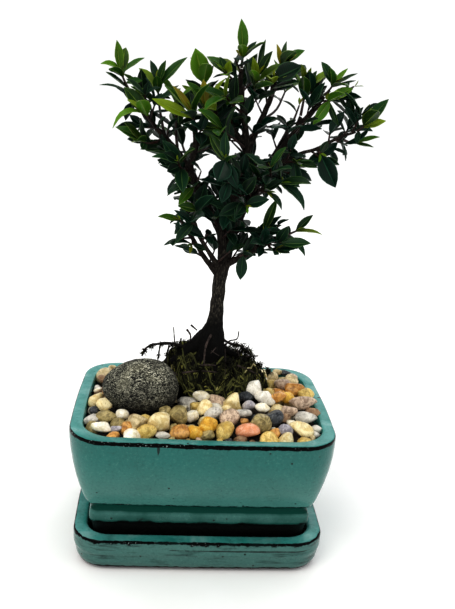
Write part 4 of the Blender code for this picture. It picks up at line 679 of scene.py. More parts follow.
def select_verts(test):
    """Selects the edited mesh's vertices whose place passes a test, and nothing else."""
    bpy.ops.object.mode_set(mode="OBJECT")
    mesh = bpy.context.object.data
    for part in (*mesh.polygons, *mesh.edges):
        part.select = False
    for vert in mesh.vertices:
        vert.select = test(vert.co)
    bpy.ops.object.mode_set(mode="EDIT")


def start_editing(select="VERT"):
    bpy.ops.object.mode_set(mode="EDIT")
    bpy.ops.mesh.select_mode(type=select)
    bpy.ops.mesh.select_all(action="SELECT")


def give_attribute(mesh, name, values):
    """Stores one number for each vertex under a name that a finish reads."""
    layer = mesh.attributes.new(name, "FLOAT", "POINT")
    layer.data.foreach_set("value", np.asarray(values, np.float32))


def take_model(item):
    """A finished model's points, faces, slots and corner UVs, with the model itself removed."""
    mesh = item.data
    points = np.array([vert.co[:] for vert in mesh.vertices])
    faces = [tuple(face.vertices) for face in mesh.polygons]
    slots = [face.material_index for face in mesh.polygons]
    layer = mesh.uv_layers.active
    if layer:
        corners = np.array([corner.uv[:] for corner in layer.data])
    else:
        corners = np.zeros((sum(len(face) for face in faces), 2))
    bpy.data.objects.remove(item, do_unlink=True)
    bpy.data.meshes.remove(mesh)
    return points, faces, slots, corners


def new_object(points, faces):
    """An object from points in millimetres."""
    mesh = bpy.data.meshes.new("piece")
    mesh.from_pydata((np.array(points) * MM).tolist(), [], faces)
    item = bpy.data.objects.new("piece", mesh)
    bpy.context.scene.collection.objects.link(item)
    return item


def plant(copies):
    """One object from many bent copies of models.

    Each copy is (model, its points in millimetres, {attribute: value}, its first slot).
    """
    points, faces, slots, corners = [], [], [], []
    values = {}
    count = 0
    for (_, model_faces, model_slots, model_corners), placed, facts, first_slot in copies:
        points.append(placed)
        faces += [tuple(index + count for index in face) for face in model_faces]
        slots += [slot + first_slot for slot in model_slots]
        corners.append(model_corners)
        for fact, value in facts.items():
            values.setdefault(fact, []).append(np.full(len(placed), value))
        count += len(placed)
    item = new_object(np.concatenate(points), faces)
    item.data.polygons.foreach_set("material_index", slots)
    layer = item.data.uv_layers.new(name="UVMap")
    layer.data.foreach_set("uv", np.concatenate(corners).ravel())
    for fact, parts in values.items():
        give_attribute(item.data, fact, np.concatenate(parts))
    return item


# The rule by which the part grows, so that every leaf is where its solid has it.
def body_inset(z):
    """Inset of the pot's glazed body from the rim at a height."""
    fall = (RIM_EDGE - z) / (RIM_EDGE - BODY_LOW)
    return BODY_TAPER * max(fall, 0.0) ** BODY_CURVE


def wall_inset(z):
    """Inset of the pot's inner wall from the rim at a height."""
    if z >= BODY_LOW:
        return LIP_WIDTH + body_inset(z) * 0.95
    share = (BODY_LOW - z) / (BODY_LOW - POT_FLOOR)
    return LIP_WIDTH + BODY_TAPER * 0.95 + 3.5 * share


def mound_reach(angle):
    """Radius of the mound towards an angle, eased between the eight that are given."""
    turn = (angle / math.tau * len(MOUND_REACH)) % len(MOUND_REACH)
    low = int(turn)
    share = turn - low
    share = share * share * (3.0 - 2.0 * share)
    return MOUND_REACH[low] * (1.0 - share) + MOUND_REACH[(low + 1) % len(MOUND_REACH)] * share


def from_mound(x, y):
    """A place's distance from the mound's middle, and the mound's reach that way."""
    away = math.hypot(x - MOUND_X, y - MOUND_Y)
    return away, mound_reach(math.atan2(y - MOUND_Y, x - MOUND_X))


def mound_share(x, y):
    """Distance from the mound's middle, 1 at its edge."""
    away, reach = from_mound(x, y)
    return away / reach


def mound_distance(x, y):
    """How far outside the mound's edge a place is."""
    away, reach = from_mound(x, y)
    return away - reach


def mound_height(share):
    """Height of the mound over its foot, full in the middle and none at its edge."""
    return MOUND_RISE * max(1.0 - share ** 2, 0.0) ** 0.65


def wall_distance(x, y):
    """How far a place in the pot is from its inner wall."""
    corner = RIM_CORNER - CORNER_SHRINK * LIP_WIDTH
    over_x = abs(x) - (RIM_X - LIP_WIDTH - corner)
    over_y = abs(y) - (RIM_Y - LIP_WIDTH - corner)
    return corner - math.hypot(max(over_x, 0.0), max(over_y, 0.0)) - min(max(over_x, over_y), 0.0)


def bed_height(x, y):
    """Height of the bed of grit, which rises a little from the wall towards the mound."""
    share = min(max(wall_distance(x, y) / BED_SLOPE, 0.0), 1.0)
    return BED_EDGE + (BED_TOP - BED_EDGE) * share


def shoulder_height(x, y):
    """Extra height of the tangle of roots and moss on the trunk's left."""
    away = math.dist((x, y), SHOULDER_PLACE) / SHOULDER_SPREAD
    return SHOULDER_RISE * math.exp(-0.5 * away * away)


def moss_top(x, y):
    """Height of the mound with its soft bumps."""
    relief = math.sin(0.55 * x + 1.3) * math.sin(0.5 * y + 0.4) + 0.6 * math.sin(1.1 * x - 0.8 * y)
    return BED_TOP + mound_height(mound_share(x, y)) + shoulder_height(x, y) + MOSS_RELIEF * relief


def mound_point(angle, share):
    """A place on the mound at an angle round its middle, by a share of its reach."""
    reach = mound_reach(angle) * share
    return MOUND_X + reach * math.cos(angle), MOUND_Y + reach * math.sin(angle)


def loft(rings):
    """Points and faces of a skin over rings of equal count, with flat ends."""
    count = len(rings[0])
    verts = [tuple(point) for ring in rings for point in ring]
    faces = []
    top = len(verts) - count
    for low in range(0, top, count):
        high = low + count
        for step in range(count):
            after = (step + 1) % count
            faces.append((low + step, low + after, high + after, high + step))
    faces.append(tuple(reversed(range(count))))
    faces.append(tuple(range(top, top + count)))
    return verts, faces


def square_to(axis, way):
    """The part of a direction that is square to an axis."""
    return (way - axis * way.dot(axis)).normalized()


def outward(ahead, turn):
    """The direction square to a way ahead at a turn round it."""
    side = ahead.cross(Vector((0.31, 0.17, 0.93))).normalized()
    return side * math.cos(turn) + ahead.cross(side) * math.sin(turn)


def tube_rings(points, radii, sides, start_axis=None):
    """Rings square to a path, carried along it without twist."""
    axis = (points[1] - points[0]).normalized()
    side = axis.cross(Vector((0.13, 0.21, 0.97))).normalized()
    rings = []
    for number, point in enumerate(points):
        before = points[max(number - 1, 0)]
        after = points[min(number + 1, len(points) - 1)]
        axis = start_axis if start_axis and number == 0 else (after - before).normalized()
        side = square_to(axis, side)
        other = axis.cross(side)
        ring = []
        for step in range(sides):
            angle = math.tau * step / sides
            spread = side * math.cos(angle) + other * math.sin(angle)
            ring.append(point + spread * radii[number])
        rings.append(ring)
    return rings


def placed_run(rows):
    """Points and radii in the frame of rows (x, z, depth y, radius)."""
    return [seen_at(*row[:3]) for row in rows], [row[3] for row in rows]


def root_runs():
    """Surface roots that leave the flare, lie on the mound and dive into its moss."""
    draw = random.Random(ROOT_SEED)
    runs = [placed_run(FLARE_ROOT)]
    for turn, reach in zip(ROOT_TURNS, ROOT_REACH):
        sway = draw.uniform(-0.25, 0.25)
        thick = draw.uniform(2.4, 3.3)
        points = []
        radii = []
        for share in (0.0, 0.26, 0.58, 1.0):
            angle = math.radians(turn) + sway * math.sin(share * 3.4)
            x = TRUNK_X + reach * share * math.cos(angle)
            y = TRUNK_Y + reach * share * math.sin(angle)
            lift = 8.5 * (1.0 - share) ** 3 + 0.6 - 2.4 * share ** 2 + shoulder_height(x, y)
            points.append(Vector((x, y, BED_TOP + mound_height(mound_share(x, y)) + lift)))
            radii.append(thick * (1.0 - share) + 0.9)
        runs.append((points, radii))
    return runs


def stem_path(name):
    """A leafy stem's points from the bearing wood's axis, its stub's length and the gap after it."""
    bearer, place, points = STEMS[name][:3]
    run_points, run_radii = placed_run(WOOD[bearer])
    path = [run_points[place]] + [seen_at(x, z, y) for x, z, y in points]
    ends_run = place == len(run_points) - 1
    along = run_points[place] - run_points[place - 1]
    lean = abs((path[1] - path[0]).normalized().dot(along.normalized()))
    square = math.sqrt(max(1.0 - lean * lean, 0.06))
    if ends_run:
        return path, 0.0, TWIG_RADIUS * square / max(lean, 0.4) + GAP / max(lean, 0.4)
    return path, (run_radii[place] + TWIG_RADIUS * lean + GAP) / square + 0.5, GAP


def walk(path, distance):
    """The point at a distance along a path of straight pieces."""
    for start, end in zip(path, path[1:]):
        length = (end - start).length
        if distance <= length:
            return start.lerp(end, distance / length)
        distance -= length
    return path[-1].copy()


def path_length(path):
    return sum((end - start).length for start, end in zip(path, path[1:]))


def split_stem(name):
    """The stub that stays on the wood and the twig that starts a hair's breadth after it."""
    path, stub, gap = stem_path(name)
    length = path_length(path)
    stub = min(stub, 0.7 * length)
    stub_path = [path[0], walk(path, stub)]
    twig_path = [walk(path, stub + gap), walk(path, 0.5 * (stub + gap + length)), path[-1]]
    return stub_path, twig_path


def twig_parts(name):
    """A twig that starts square to its stub and thins to its bud."""
    stub_path, twig_path = split_stem(name)
    radii = [TWIG_RADIUS, TWIG_RADIUS * 0.9, TWIG_RADIUS * 0.65]
    start_axis = (stub_path[1] - stub_path[0]).normalized() if name in side_stems() else None
    return loft(tube_rings(twig_path, radii, 4, start_axis))


def side_stems():
    """The stems that grow from the side of a wood run, and so have a stub on it."""
    return [name for name in STEMS if stem_path(name)[1] > 0.0]


def stub_parts(name):
    stub_path = split_stem(name)[0]
    return loft(tube_rings(stub_path, [TWIG_RADIUS * 1.05, TWIG_RADIUS * 1.05], 4))


def wood_parts():
    """Closed tubes of all the wood, each as verts and faces, the trunk first."""
    parts = []
    for name, rows in WOOD.items():
        parts.append(loft(tube_rings(*placed_run(rows), 8 if name == "trunk" else 5)))
    return parts + [loft(tube_rings(*run, 5)) for run in root_runs()]


def blade_half_width(share):
    """Half the width of a leaf along its length, as a share of its widest."""
    return math.sin(math.pi * share ** 0.9) ** 0.75


def blade_line(blade, share):
    """Point, forward and face directions on a leaf's midrib."""
    chord = blade.tip - blade.root
    bend = (blade.root + blade.tip) / 2 + blade.face * (2.0 * blade.bulge * chord.length)
    point = blade.root * (1 - share) ** 2 + bend * (2 * share * (1 - share)) + blade.tip * share ** 2
    forward = ((bend - blade.root) * (1 - share) + (blade.tip - bend) * share).normalized()
    side = forward.cross(blade.face).normalized()
    return point, forward, side, side.cross(forward)


def blade_mesh(blade, grow=0.0):
    """A leaf as a thin keeled blade from a pointed root sunk in the twig to its tip.

    Each station has its left edge, its right edge and the midrib on its underside.
    """
    verts = [blade_line(blade, 0.0)[0] - blade_line(blade, 0.0)[1] * ROOT_SINK]
    stations = LONG_STATIONS if (blade.tip - blade.root).length > LONG_LEAF else SHORT_STATIONS
    for share in stations:
        point, _, side, face = blade_line(blade, share)
        half = 0.5 * blade.width * blade_half_width(share) + grow
        upper = point + face * (0.4 * LEAF_THICK + grow)
        verts += [upper - side * half, upper + side * half, point - face * (0.6 * LEAF_THICK + grow)]
    end = blade_line(blade, 1.0)
    verts.append(end[0] + end[1] * grow)
    faces = [(0, 2, 1), (0, 3, 2), (0, 1, 3)]
    for low in range(1, len(verts) - 4, 3):
        high = low + 3
        faces += [(low, high + 1, high), (low, low + 1, high + 1),
                  (low + 1, high + 2, high + 1), (low + 1, low + 2, high + 2),
                  (low + 2, high, high + 2), (low + 2, low, high)]
    low = len(verts) - 4
    tip = len(verts) - 1
    faces += [(low, low + 1, tip), (low + 1, low + 2, tip), (low + 2, low, tip)]
    return verts, faces


def obstacle(verts, faces, owner):
    verts = [Vector(vert) for vert in verts]
    centre = sum(verts, Vector()) / len(verts)
    radius = max((vert - centre).length for vert in verts)
    return Obstacle(centre, radius, BVHTree.FromPolygons(verts, faces), owner)


def meets(one, other):
    """True where two obstacles touch. Their spheres are tried first."""
    if (other.centre - one.centre).length > other.radius + one.radius:
        return False
    return bool(one.tree.overlap(other.tree))


def is_clear(blade, owner, obstacles, strict):
    """True where a leaf clears the other stems and, if strict, its own stem's leaves too."""
    test = obstacle(*blade_mesh(blade, LEAF_CLEAR), owner)
    outer = blade._replace(root=blade_line(blade, OWN_ROOM)[0])
    own_test = obstacle(*blade_mesh(outer), owner)
    for other in obstacles:
        if other.owner != owner and meets(test, other):
            return False
        if strict and other.owner == owner and meets(own_test, other):
            return False
    return True


def in_outline(x, z):
    """True where a place seen on the trunk's plane lies inside the crown's outline."""
    inside = False
    for (ax, az), (bx, bz) in zip(CROWN_OUTLINE, CROWN_OUTLINE[1:] + CROWN_OUTLINE[:1]):
        if (az > z) != (bz > z) and x < ax + (z - az) / (bz - az) * (bx - ax):
            inside = not inside
    return inside


def in_sky(x, z, room):
    """True where a place lies in an opening of the crown, or within some room of one."""
    return any(math.hypot(x - gap_x, z - gap_z) < radius + room for gap_x, gap_z, radius in SKY)


def keeps_place(blade):
    """True where a leaf stays inside the crown's outline and off the sky's openings."""
    places = [read_off(blade_line(blade, share)[0]) for share in (0.25, 0.5, 0.75, 1.0)]
    return (in_outline(*read_off(blade.tip))
            and not any(in_sky(*place, 0.3 * blade.width) for place in places))


def hand_blade(twig, leaf, order):
    """A leaf whose tip is given as the eye sees it, rooted a little below the one before it."""
    place, tip_x, tip_z, depth, width, turn, bulge, age = leaf
    length = path_length(twig)
    root = walk(twig, max(min(place * length, length - 0.6) - 0.9 * order, 1.0))
    tip = seen_at(tip_x, tip_z, root.y + depth)
    chord = (tip - root).normalized()
    up = Vector((0, 0, 1))
    if abs(chord.z) > 0.85:
        up = Vector((-chord.x, 0, 0)) if abs(chord.x) > 0.1 else Vector((-1, 0, 0))
    front = (EYE - root).normalized()
    up = square_to(chord, up)
    across = square_to(up, square_to(chord, front))
    face = up * math.cos(math.radians(turn)) + across * math.sin(math.radians(turn))
    return Blade(root, tip, face.normalized(), width, bulge, age)


def shifted(blade, draw, attempt):
    """A leaf moved in depth and turned a little, with its seen outline nearly kept."""
    reach = 0.5 + 0.3 * attempt
    tip_x, tip_z = read_off(blade.tip)
    tip = seen_at(tip_x, tip_z, blade.tip.y + draw.uniform(-reach, reach))
    chord = (tip - blade.root).normalized()
    spin = Matrix.Rotation(draw.uniform(-0.02, 0.02) * attempt, 3, chord)
    width = blade.width * (1.0 - 0.006 * attempt)
    return blade._replace(tip=tip, face=square_to(chord, spin @ blade.face), width=width)


def rule_blade(twig, share, turn, lean, length, slim, bulge, age, light):
    """A leaf on the twig at a turn round it, leaning out from its axis."""
    root = walk(twig, path_length(twig) * share)
    ahead = (walk(twig, path_length(twig) * min(share + 0.1, 1.0))
             - walk(twig, path_length(twig) * max(share - 0.1, 0.0))).normalized()
    heading = (ahead * math.cos(lean) + outward(ahead, turn) * math.sin(lean)).normalized()
    face = square_to(heading, ahead + light)
    return Blade(root, root + heading * length, face, length * slim, bulge, age)


def hand_leaves(name, twig, obstacles):
    """A stem's listed leaves, each moved a little until it is clear."""
    draw = random.Random(name)
    leaves = []
    for order, leaf in enumerate(STEMS[name][4]):
        blade = hand_blade(twig, leaf, order)
        for attempt in range(HAND_TRIES[1]):
            if is_clear(blade, name, obstacles, attempt < HAND_TRIES[0]):
                leaves.append(blade)
                obstacles.append(obstacle(*blade_mesh(blade), name))
                break
            blade = shifted(hand_blade(twig, leaf, order), draw, attempt)
    return leaves


def rule_leaves(name, twig, rank, obstacles):
    """A stem's leaf of one rank by the rule of opposite pairs, or none where there is no room."""
    pair, side = divmod(rank, 2)
    pairs, by_hand = STEMS[name][3:]
    if pair >= pairs:
        return []
    draw = random.Random("%s %d" % (name, rank))
    share = 0.75 - 0.5 * pair / pairs if by_hand else 0.98 - 0.8 * pair / pairs
    youth = min(max((twig[-1].z - OLD_LEAVES) / YOUNG_RISE, 0.1), 1.0)
    for attempt in range(RULE_TRIES[1]):
        spread = 0.12 + 0.03 * attempt
        turn = math.pi / 2 * pair + math.pi * side + len(name) + draw.uniform(-spread, spread)
        lean = math.radians(draw.uniform(32, 48) + 10 * pair) + draw.uniform(0, 0.01) * attempt
        length = draw.uniform(18, 23.5) * (1.0 - 0.007 * attempt)
        age = max(0.75 - 0.35 * pair + draw.uniform(-0.2, 0.2), 0.0) * youth
        blade = rule_blade(twig, share, turn, lean, length, draw.uniform(0.33, 0.42),
                           draw.uniform(0.04, 0.14), age, LEAF_LIGHT)
        if keeps_place(blade) and is_clear(blade, name, obstacles, attempt < RULE_TRIES[0]):
            obstacles.append(obstacle(*blade_mesh(blade), name))
            return [blade]
    return []


def grow_leaves():
    """Every leaf of every stem, each clear of the other stems and of the wood."""
    obstacles = [obstacle(*part, "trunk") for part in wood_parts()]
    obstacles += [obstacle(*stub_parts(name), "trunk") for name in side_stems()]
    obstacles += [obstacle(*twig_parts(name), name) for name in STEMS]
    twigs = {name: split_stem(name)[1] for name in STEMS}
    leaves = {name: hand_leaves(name, twig, obstacles) for name, twig in twigs.items()}
    for rank in range(LEAF_RANKS):
        for name, twig in twigs.items():
            leaves[name] += rule_leaves(name, twig, rank, obstacles)
    return leaves, obstacles


# Lines in space, and models bent along them.
def smooth_line(points, count):
    """Places at even steps along a smooth curve through points, extra columns eased as well."""
    points = np.array([point[:] for point in points], float)
    ends = np.vstack([2 * points[0] - points[1], points, 2 * points[-1] - points[-2]])
    turns = np.linspace(0, len(points) - 1, count)
    low = np.minimum(turns.astype(int), len(points) - 2)
    share = (turns - low)[:, None]
    before, start, end, after = (ends[low + step] for step in range(4))
    return 0.5 * (2 * start + (end - before) * share
                  + (2 * before - 5 * start + 4 * end - after) * share ** 2
                  + (3 * start - before - 3 * end + after) * share ** 3)


def unit(rows):
    return rows / np.linalg.norm(rows, axis=-1, keepdims=True)


def tossed(draw, spread=1.0):
    """A random step in space."""
    return np.array([draw.gauss(0, spread) for _ in range(3)])


def carried_frames(line, up):
    """Two directions square to a line at each of its places, carried along it without twist."""
    ahead = unit(np.gradient(line, axis=0))
    side = np.cross(ahead[0], up)
    sides = []
    for axis in ahead:
        side = side - axis * np.dot(side, axis)
        side = side / np.linalg.norm(side)
        sides.append(side)
    sides = np.array(sides)
    return sides, np.cross(ahead, sides)


def bent_tube(model, line, radii, facts, slot=0, up=(0.13, 0.21, 0.97)):
    """A copy of a tube model along a line, with one of its rings at each place."""
    points = model[0]
    line = np.array(line)
    level = np.rint(points[:, 2] * (len(line) - 1)).astype(int)
    side, other = carried_frames(line, up)
    spread = side[level] * points[:, 0:1] + other[level] * points[:, 1:2]
    return model, line[level] + spread * np.asarray(radii)[level, None], facts, slot


def bent_leaf(model, blade, draw):
    """A copy of the leaf model bent along a blade's midrib, with a little twist towards its tip."""
    points = model[0]
    chord = blade.tip - blade.root
    bend = (blade.root + blade.tip) / 2 + blade.face * (2.0 * blade.bulge * chord.length)
    root, middle, tip, face = (np.array(part) for part in (blade.root, bend, blade.tip, blade.face))
    share = points[:, 1:2]
    centre = root * (1 - share) ** 2 + middle * 2 * share * (1 - share) + tip * share ** 2
    forward = unit((middle - root) * (1 - share) + (tip - middle) * share)
    side = unit(np.cross(forward, face))
    normal = np.cross(side, forward)
    across = points[:, 0:1] * blade.width
    up = points[:, 2:3] * blade.width
    turn = draw.uniform(-0.35, 0.35) * share
    cos, sin = np.cos(turn), np.sin(turn)
    placed = centre + side * (across * cos - up * sin) + normal * (across * sin + up * cos)
    return model, placed, {"age": blade.age, "tone": draw.uniform(0.0, 1.0)}, 0


def model_tube(sides, levels, flat=1.0):
    """A closed tube one unit long and one in radius, flattened one way, extruded from a disc."""
    bpy.ops.mesh.primitive_circle_add(vertices=sides, radius=1.0, fill_type="NGON")
    start_editing("FACE")
    bpy.ops.transform.resize(value=(1.0, flat, 1.0))
    for _ in range(levels - 1):
        bpy.ops.mesh.extrude_region_move(TRANSFORM_OT_translate={"value": (0, 0, 1.0 / (levels - 1))})
    bpy.ops.mesh.select_all(action="SELECT")
    bpy.ops.mesh.normals_make_consistent(inside=False)
    bpy.ops.object.mode_set(mode="OBJECT")
    return take_model(bpy.context.object)


# Rows of the leaf model: place along it, half width, midrib depth and edge lift, as shares of its
# length and width.
LEAF_ROWS = [(0.0, 0.07, 0.0, 0.0), (0.08, 0.1, 0.05, 0.0), (0.2, 0.3, 0.12, 0.03),
             (0.35, 0.45, 0.16, 0.06), (0.5, 0.5, 0.17, 0.02), (0.65, 0.45, 0.16, 0.05),
             (0.79, 0.31, 0.12, 0.06), (0.91, 0.14, 0.07, 0.01), (0.98, 0.015, 0.0, -0.03)]
LEAF_SHEET = 0.04


def model_leaf():
    """A leaf one unit long and one wide: stalk end, blade folded along its midrib, and drip tip."""
    spans = len(LEAF_ROWS) - 1
    bpy.ops.mesh.primitive_grid_add(x_subdivisions=4, y_subdivisions=spans, size=1.0)
    leaf = bpy.context.object
    start_editing()
    # Each row moves to its place on a level above the grid, so that no row is taken twice.
    for number, (place, half, _, _) in enumerate(LEAF_ROWS):
        low = number / spans - 0.5
        select_verts(lambda co: abs(co.y - low) < 0.01 and abs(co.z) < 0.001)
        bpy.ops.transform.resize(value=(2.0 * half, 1.0, 1.0), center_override=(0.0, low, 0.0))
        bpy.ops.transform.translate(value=(0.0, place - low, 2.0))
    bpy.ops.mesh.select_all(action="SELECT")
    bpy.ops.transform.translate(value=(0.0, 0.0, -2.0))
    for place, half, depth, lift in LEAF_ROWS:
        select_verts(lambda co: abs(co.y - place) < 0.01 and abs(co.x) < 0.2 * half)
        bpy.ops.transform.translate(value=(0.0, 0.0, -depth))
        select_verts(lambda co: abs(co.y - place) < 0.01 and abs(co.x) > 0.8 * half)
        bpy.ops.transform.translate(value=(0.0, 0.0, lift))
    bpy.ops.object.mode_set(mode="OBJECT")
    apply_modifier(leaf, "SOLIDIFY", thickness=LEAF_SHEET, offset=0.0, material_offset=1)
    return take_model(leaf)


def model_pebble(fineness):
    """A round pebble of one unit, for copies that are squashed and worn each in their own way."""
    bpy.ops.mesh.primitive_ico_sphere_add(subdivisions=fineness, radius=1.0)
    return take_model(bpy.context.object)


# The crown.
TWIG_LEVELS = 7
BUD_LENGTHS = (4.0, 7.5)
# Inner shoots: a seed, the steps between them, how far out on long and other limbs they begin,
# tries for each shoot and each of its leaves, lengths, and how far back shoots and tips may reach.
SHOOT_SEED = 23
SHOOT_STEP = 5.0
LONG_LIMBS = ("centre", "right", "left_up")
SHOOT_STARTS = (14.0, 6.0)
SHOOT_TRIES = (8, 14)
SHOOT_LENGTHS = (8, 15)
SHOOT_BACK = 62.0
TIP_BACK = 74.0


def twig_copy(twig, path, share=1.0):
    """A twig along a path, which thins to its bud."""
    radii = share * np.linspace(TWIG_RADIUS, 0.55 * TWIG_RADIUS, TWIG_LEVELS)
    return bent_tube(twig, smooth_line(path, TWIG_LEVELS), radii, {"age": 0.3, "tone": 0.5}, 2)


def bud_blades(path, draw):
    """A pair of small new leaves that open at a twig's end."""
    blades = []
    first_turn = draw.uniform(0, math.pi)
    for turn in (first_turn, first_turn + math.pi):
        length = draw.uniform(*BUD_LENGTHS)
        lean = math.radians(draw.uniform(16, 34))
        blades.append(rule_blade(path, 1.0, turn, lean, length, 0.3, draw.uniform(0.02, 0.1),
                                 draw.uniform(0.8, 1.0), Vector((0, -0.1, 0.8))))
    return blades


def shoot_path(points, distance, length, draw):
    """A short way out from a limb's axis at a turn round it, and where it leaves the limb."""
    root = walk(points, distance)
    ahead = (walk(points, min(distance + 2.0, length)) - walk(points, distance - 2.0)).normalized()
    turn = draw.uniform(0, math.tau)
    heading = (ahead * 0.5 + outward(ahead, turn) + Vector((0, 0, 0.25))).normalized()
    return [root, root + heading * draw.uniform(*SHOOT_LENGTHS)], root + heading * 3.5


def shoot_twig(path, foot, owner, obstacles):
    """The shoot's own obstacle, or None where the shoot leaves the crown or meets another stem."""
    x, z = read_off(path[1])
    if not in_outline(x, z) or path[1].y > SHOOT_BACK or in_sky(x, z, 1.0):
        return None
    twig = obstacle(*loft(tube_rings([foot, path[1]], [0.7, 0.5], 4)), owner)
    met = any(meets(twig, other) for other in obstacles if other.owner != "trunk")
    return None if met else twig


def shoot_blades(path, owner, draw, obstacles):
    """Opposite leaves on a short shoot, each clear of all others."""
    blades = []
    for rank in range(6):
        pair, side = divmod(rank, 2)
        for _ in range(SHOOT_TRIES[1]):
            turn = math.pi / 2 * pair + math.pi * side + draw.uniform(-0.5, 0.5)
            lean = math.radians(draw.uniform(25, 60) + 12 * pair)
            length = draw.uniform(10.0, 19.0)
            age = max(draw.uniform(-0.2, 0.32) - 0.1 * pair, 0.0)
            blade = rule_blade(path, 1.0 - 0.28 * pair, turn, lean, length, draw.uniform(0.38, 0.48),
                               draw.uniform(0.03, 0.14), age, LEAF_LIGHT)
            if blade.tip.y <= TIP_BACK and keeps_place(blade) and is_clear(blade, owner, obstacles, True):
                blades.append(blade)
                obstacles.append(obstacle(*blade_mesh(blade), owner))
                break
    return blades


def grow_shoots(obstacles):
    """Short dark inner shoots along the limbs, which fill the crown behind its leafy stems."""
    draw = random.Random(SHOOT_SEED)
    shoots = []
    for name, rows in WOOD.items():
        if name == "trunk":
            continue
        points = placed_run(rows)[0]
        length = path_length(points)
        distance = SHOOT_STARTS[0] if name in LONG_LIMBS else SHOOT_STARTS[1]
        while distance < length - 2.0:
            for _ in range(SHOOT_TRIES[0]):
                path, foot = shoot_path(points, distance, length, draw)
                owner = "%s_shoot_%02d" % (name, len(shoots))
                twig = shoot_twig(path, foot, owner, obstacles)
                blades = shoot_blades(path, owner, draw, obstacles) if twig else []
                if len(blades) > 1:
                    obstacles.append(twig)
                    shoots.append((name, path, blades))
                    break
            distance += SHOOT_STEP * draw.uniform(0.75, 1.3)
    return shoots


def make_crown(leaves, shoots, finishes):
    """A leafy piece for each stem of the part, and the inner shoots of each limb."""
    leaf = model_leaf()
    twig = model_tube(6, TWIG_LEVELS)
    for name, blades in leaves.items():
        draw = random.Random("look " + name)
        path = split_stem(name)[1]
        copies = [bent_leaf(leaf, blade, draw) for blade in blades + bud_blades(path, draw)]
        copies.append(twig_copy(twig, path))
        settle(plant(copies), "leafy_stem_" + name, finishes, ["spray_" + name])
    for run in WOOD:
        copies = []
        for number, (name, path, blades) in enumerate(shoots):
            if name == run:
                draw = random.Random("shoot %d" % number)
                copies += [bent_leaf(leaf, blade, draw) for blade in blades]
                copies.append(twig_copy(twig, path, 0.75))
        if copies:
            settle(plant(copies), "inner_shoots_" + run, finishes)


# The wood: rings along each run, the skin's fineness, and limbs that are thinner than their solids,
# by the share of their radius.
LIMB_LEVELS = 26
BARK_VOXEL = 0.55
SLENDER = {"right_arm": 0.62}
STUB_RADII = (1.35, 1.0)
# Ridges and knots by the share of the radius, the most that they stand out, and the radius below
# which wood begins to be thin, with the fall over which it becomes so.
RIDGES = 0.09
KNOTS = 0.14
BARK_RELIEF = 0.45
THIN_BELOW = 4.0
THIN_OVER = 2.4


def wood_rows(points, radii, share=1.0):
    """Smooth places along a run of wood, each with its radius."""
    rows = [(*point, radius * share) for point, radius in zip(points, radii)]
    return smooth_line(rows, LIMB_LEVELS)


def wood_paths():
    """Limbs, surface roots with swollen joints, and the stubs that bear the leafy stems."""
    paths = [wood_rows(*placed_run(rows), SLENDER.get(name, 1.0)) for name, rows in WOOD.items()]
    for run in root_runs():
        rows = wood_rows(*run)
        rows[:, 3] += 0.35 * np.sin(np.linspace(0, 9, LIMB_LEVELS))
        paths.append(rows)
    return paths + [wood_rows(split_stem(name)[0], STUB_RADII) for name in side_stems()]


def make_wood(finishes):
    """The trunk with its roots, limbs and stubs, grown together into one skin of ridged bark."""
    tube = model_tube(12, LIMB_LEVELS)
    paths = wood_paths()
    wood = plant([bent_tube(tube, rows[:, :3], rows[:, 3], {}) for rows in paths])
    apply_modifier(wood, "REMESH", mode="VOXEL", voxel_size=BARK_VOXEL * MM, use_smooth_shade=True)
    apply_modifier(wood, "SMOOTH", factor=0.5, iterations=3)
    places = np.concatenate(paths)
    tree = KDTree(len(places))
    for number, place in enumerate(places):
        tree.insert(place[:3], number)
    tree.balance()
    mesh = wood.data
    normals = [vert.normal.copy() for vert in mesh.vertices]
    thin = []
    for vert, normal in zip(mesh.vertices, normals):
        place = vert.co / MM
        radius = places[tree.find(place)[1], 3]
        ridge = noise.fractal(Vector((place.x * 0.55, place.y * 0.55, place.z * 0.16)), 1.0, 2.0, 3)
        knot = noise.noise(place * 0.14)
        relief = RIDGES * radius * ridge + KNOTS * radius * knot
        vert.co += normal * (min(max(relief, -BARK_RELIEF), BARK_RELIEF) * MM)
        thin.append(min(max((THIN_BELOW - radius) / THIN_OVER, 0.0), 1.0))
    give_attribute(mesh, "thin", thin)
    settle(wood, "bark_and_limbs", finishes, ["trunk"], 180.0)


# The ground.
NOISE_SEED = 7
MOSS_SEED = 31
MOSS_RELIEF_FINE = 1.5
# Rings of a strand and of a bare root, and a strand's and a tuft's shape from end to end.
STRAND_LEVELS = 6
ROOT_LEVELS = 12
STRAND_BODY = np.array((0.5, 0.9, 1.0, 0.9, 0.7, 0.25))
TUFT_BODY = np.array((0.6, 1.0, 1.0, 0.8, 0.6, 0.25))

# Kinds of moss strand: how many, how far in they start, how wide they spread from the way round
# the trunk, bend and length of a step, height over the heap, and half thickness.
Strand = namedtuple("Strand", "number inmost spreads bend steps rise thick")
FINE = Strand(2200, 0.0, (0.4, 0.4, 3.0), 0.7, (0.8, 3.0), -0.3, (0.2, 0.45))
BROAD = Strand(700, 0.3, (0.1, 0.4, 1.5), 0.2, (1.2, 3.4), 0.35, (0.35, 0.8))

# Share of the mound's reach where its skin ends, and the distance from the trunk in which strands
# are darker. Most strands lie low on the heap and the others arch over it.
MOUND_EDGE = 0.985
TRUNK_SHADE = 24.0
LOW_SHARE = 0.85
LOW_LIFTS = (0.1, 1.2)
HIGH_LIFTS = (1.5, 4.5)
# Strands in a tuft of one millimetre's reach, and their scatter and step by the reach.
TUFT_STRANDS = 22
TUFT_SCATTER = 0.35
TUFT_STEP = 0.32

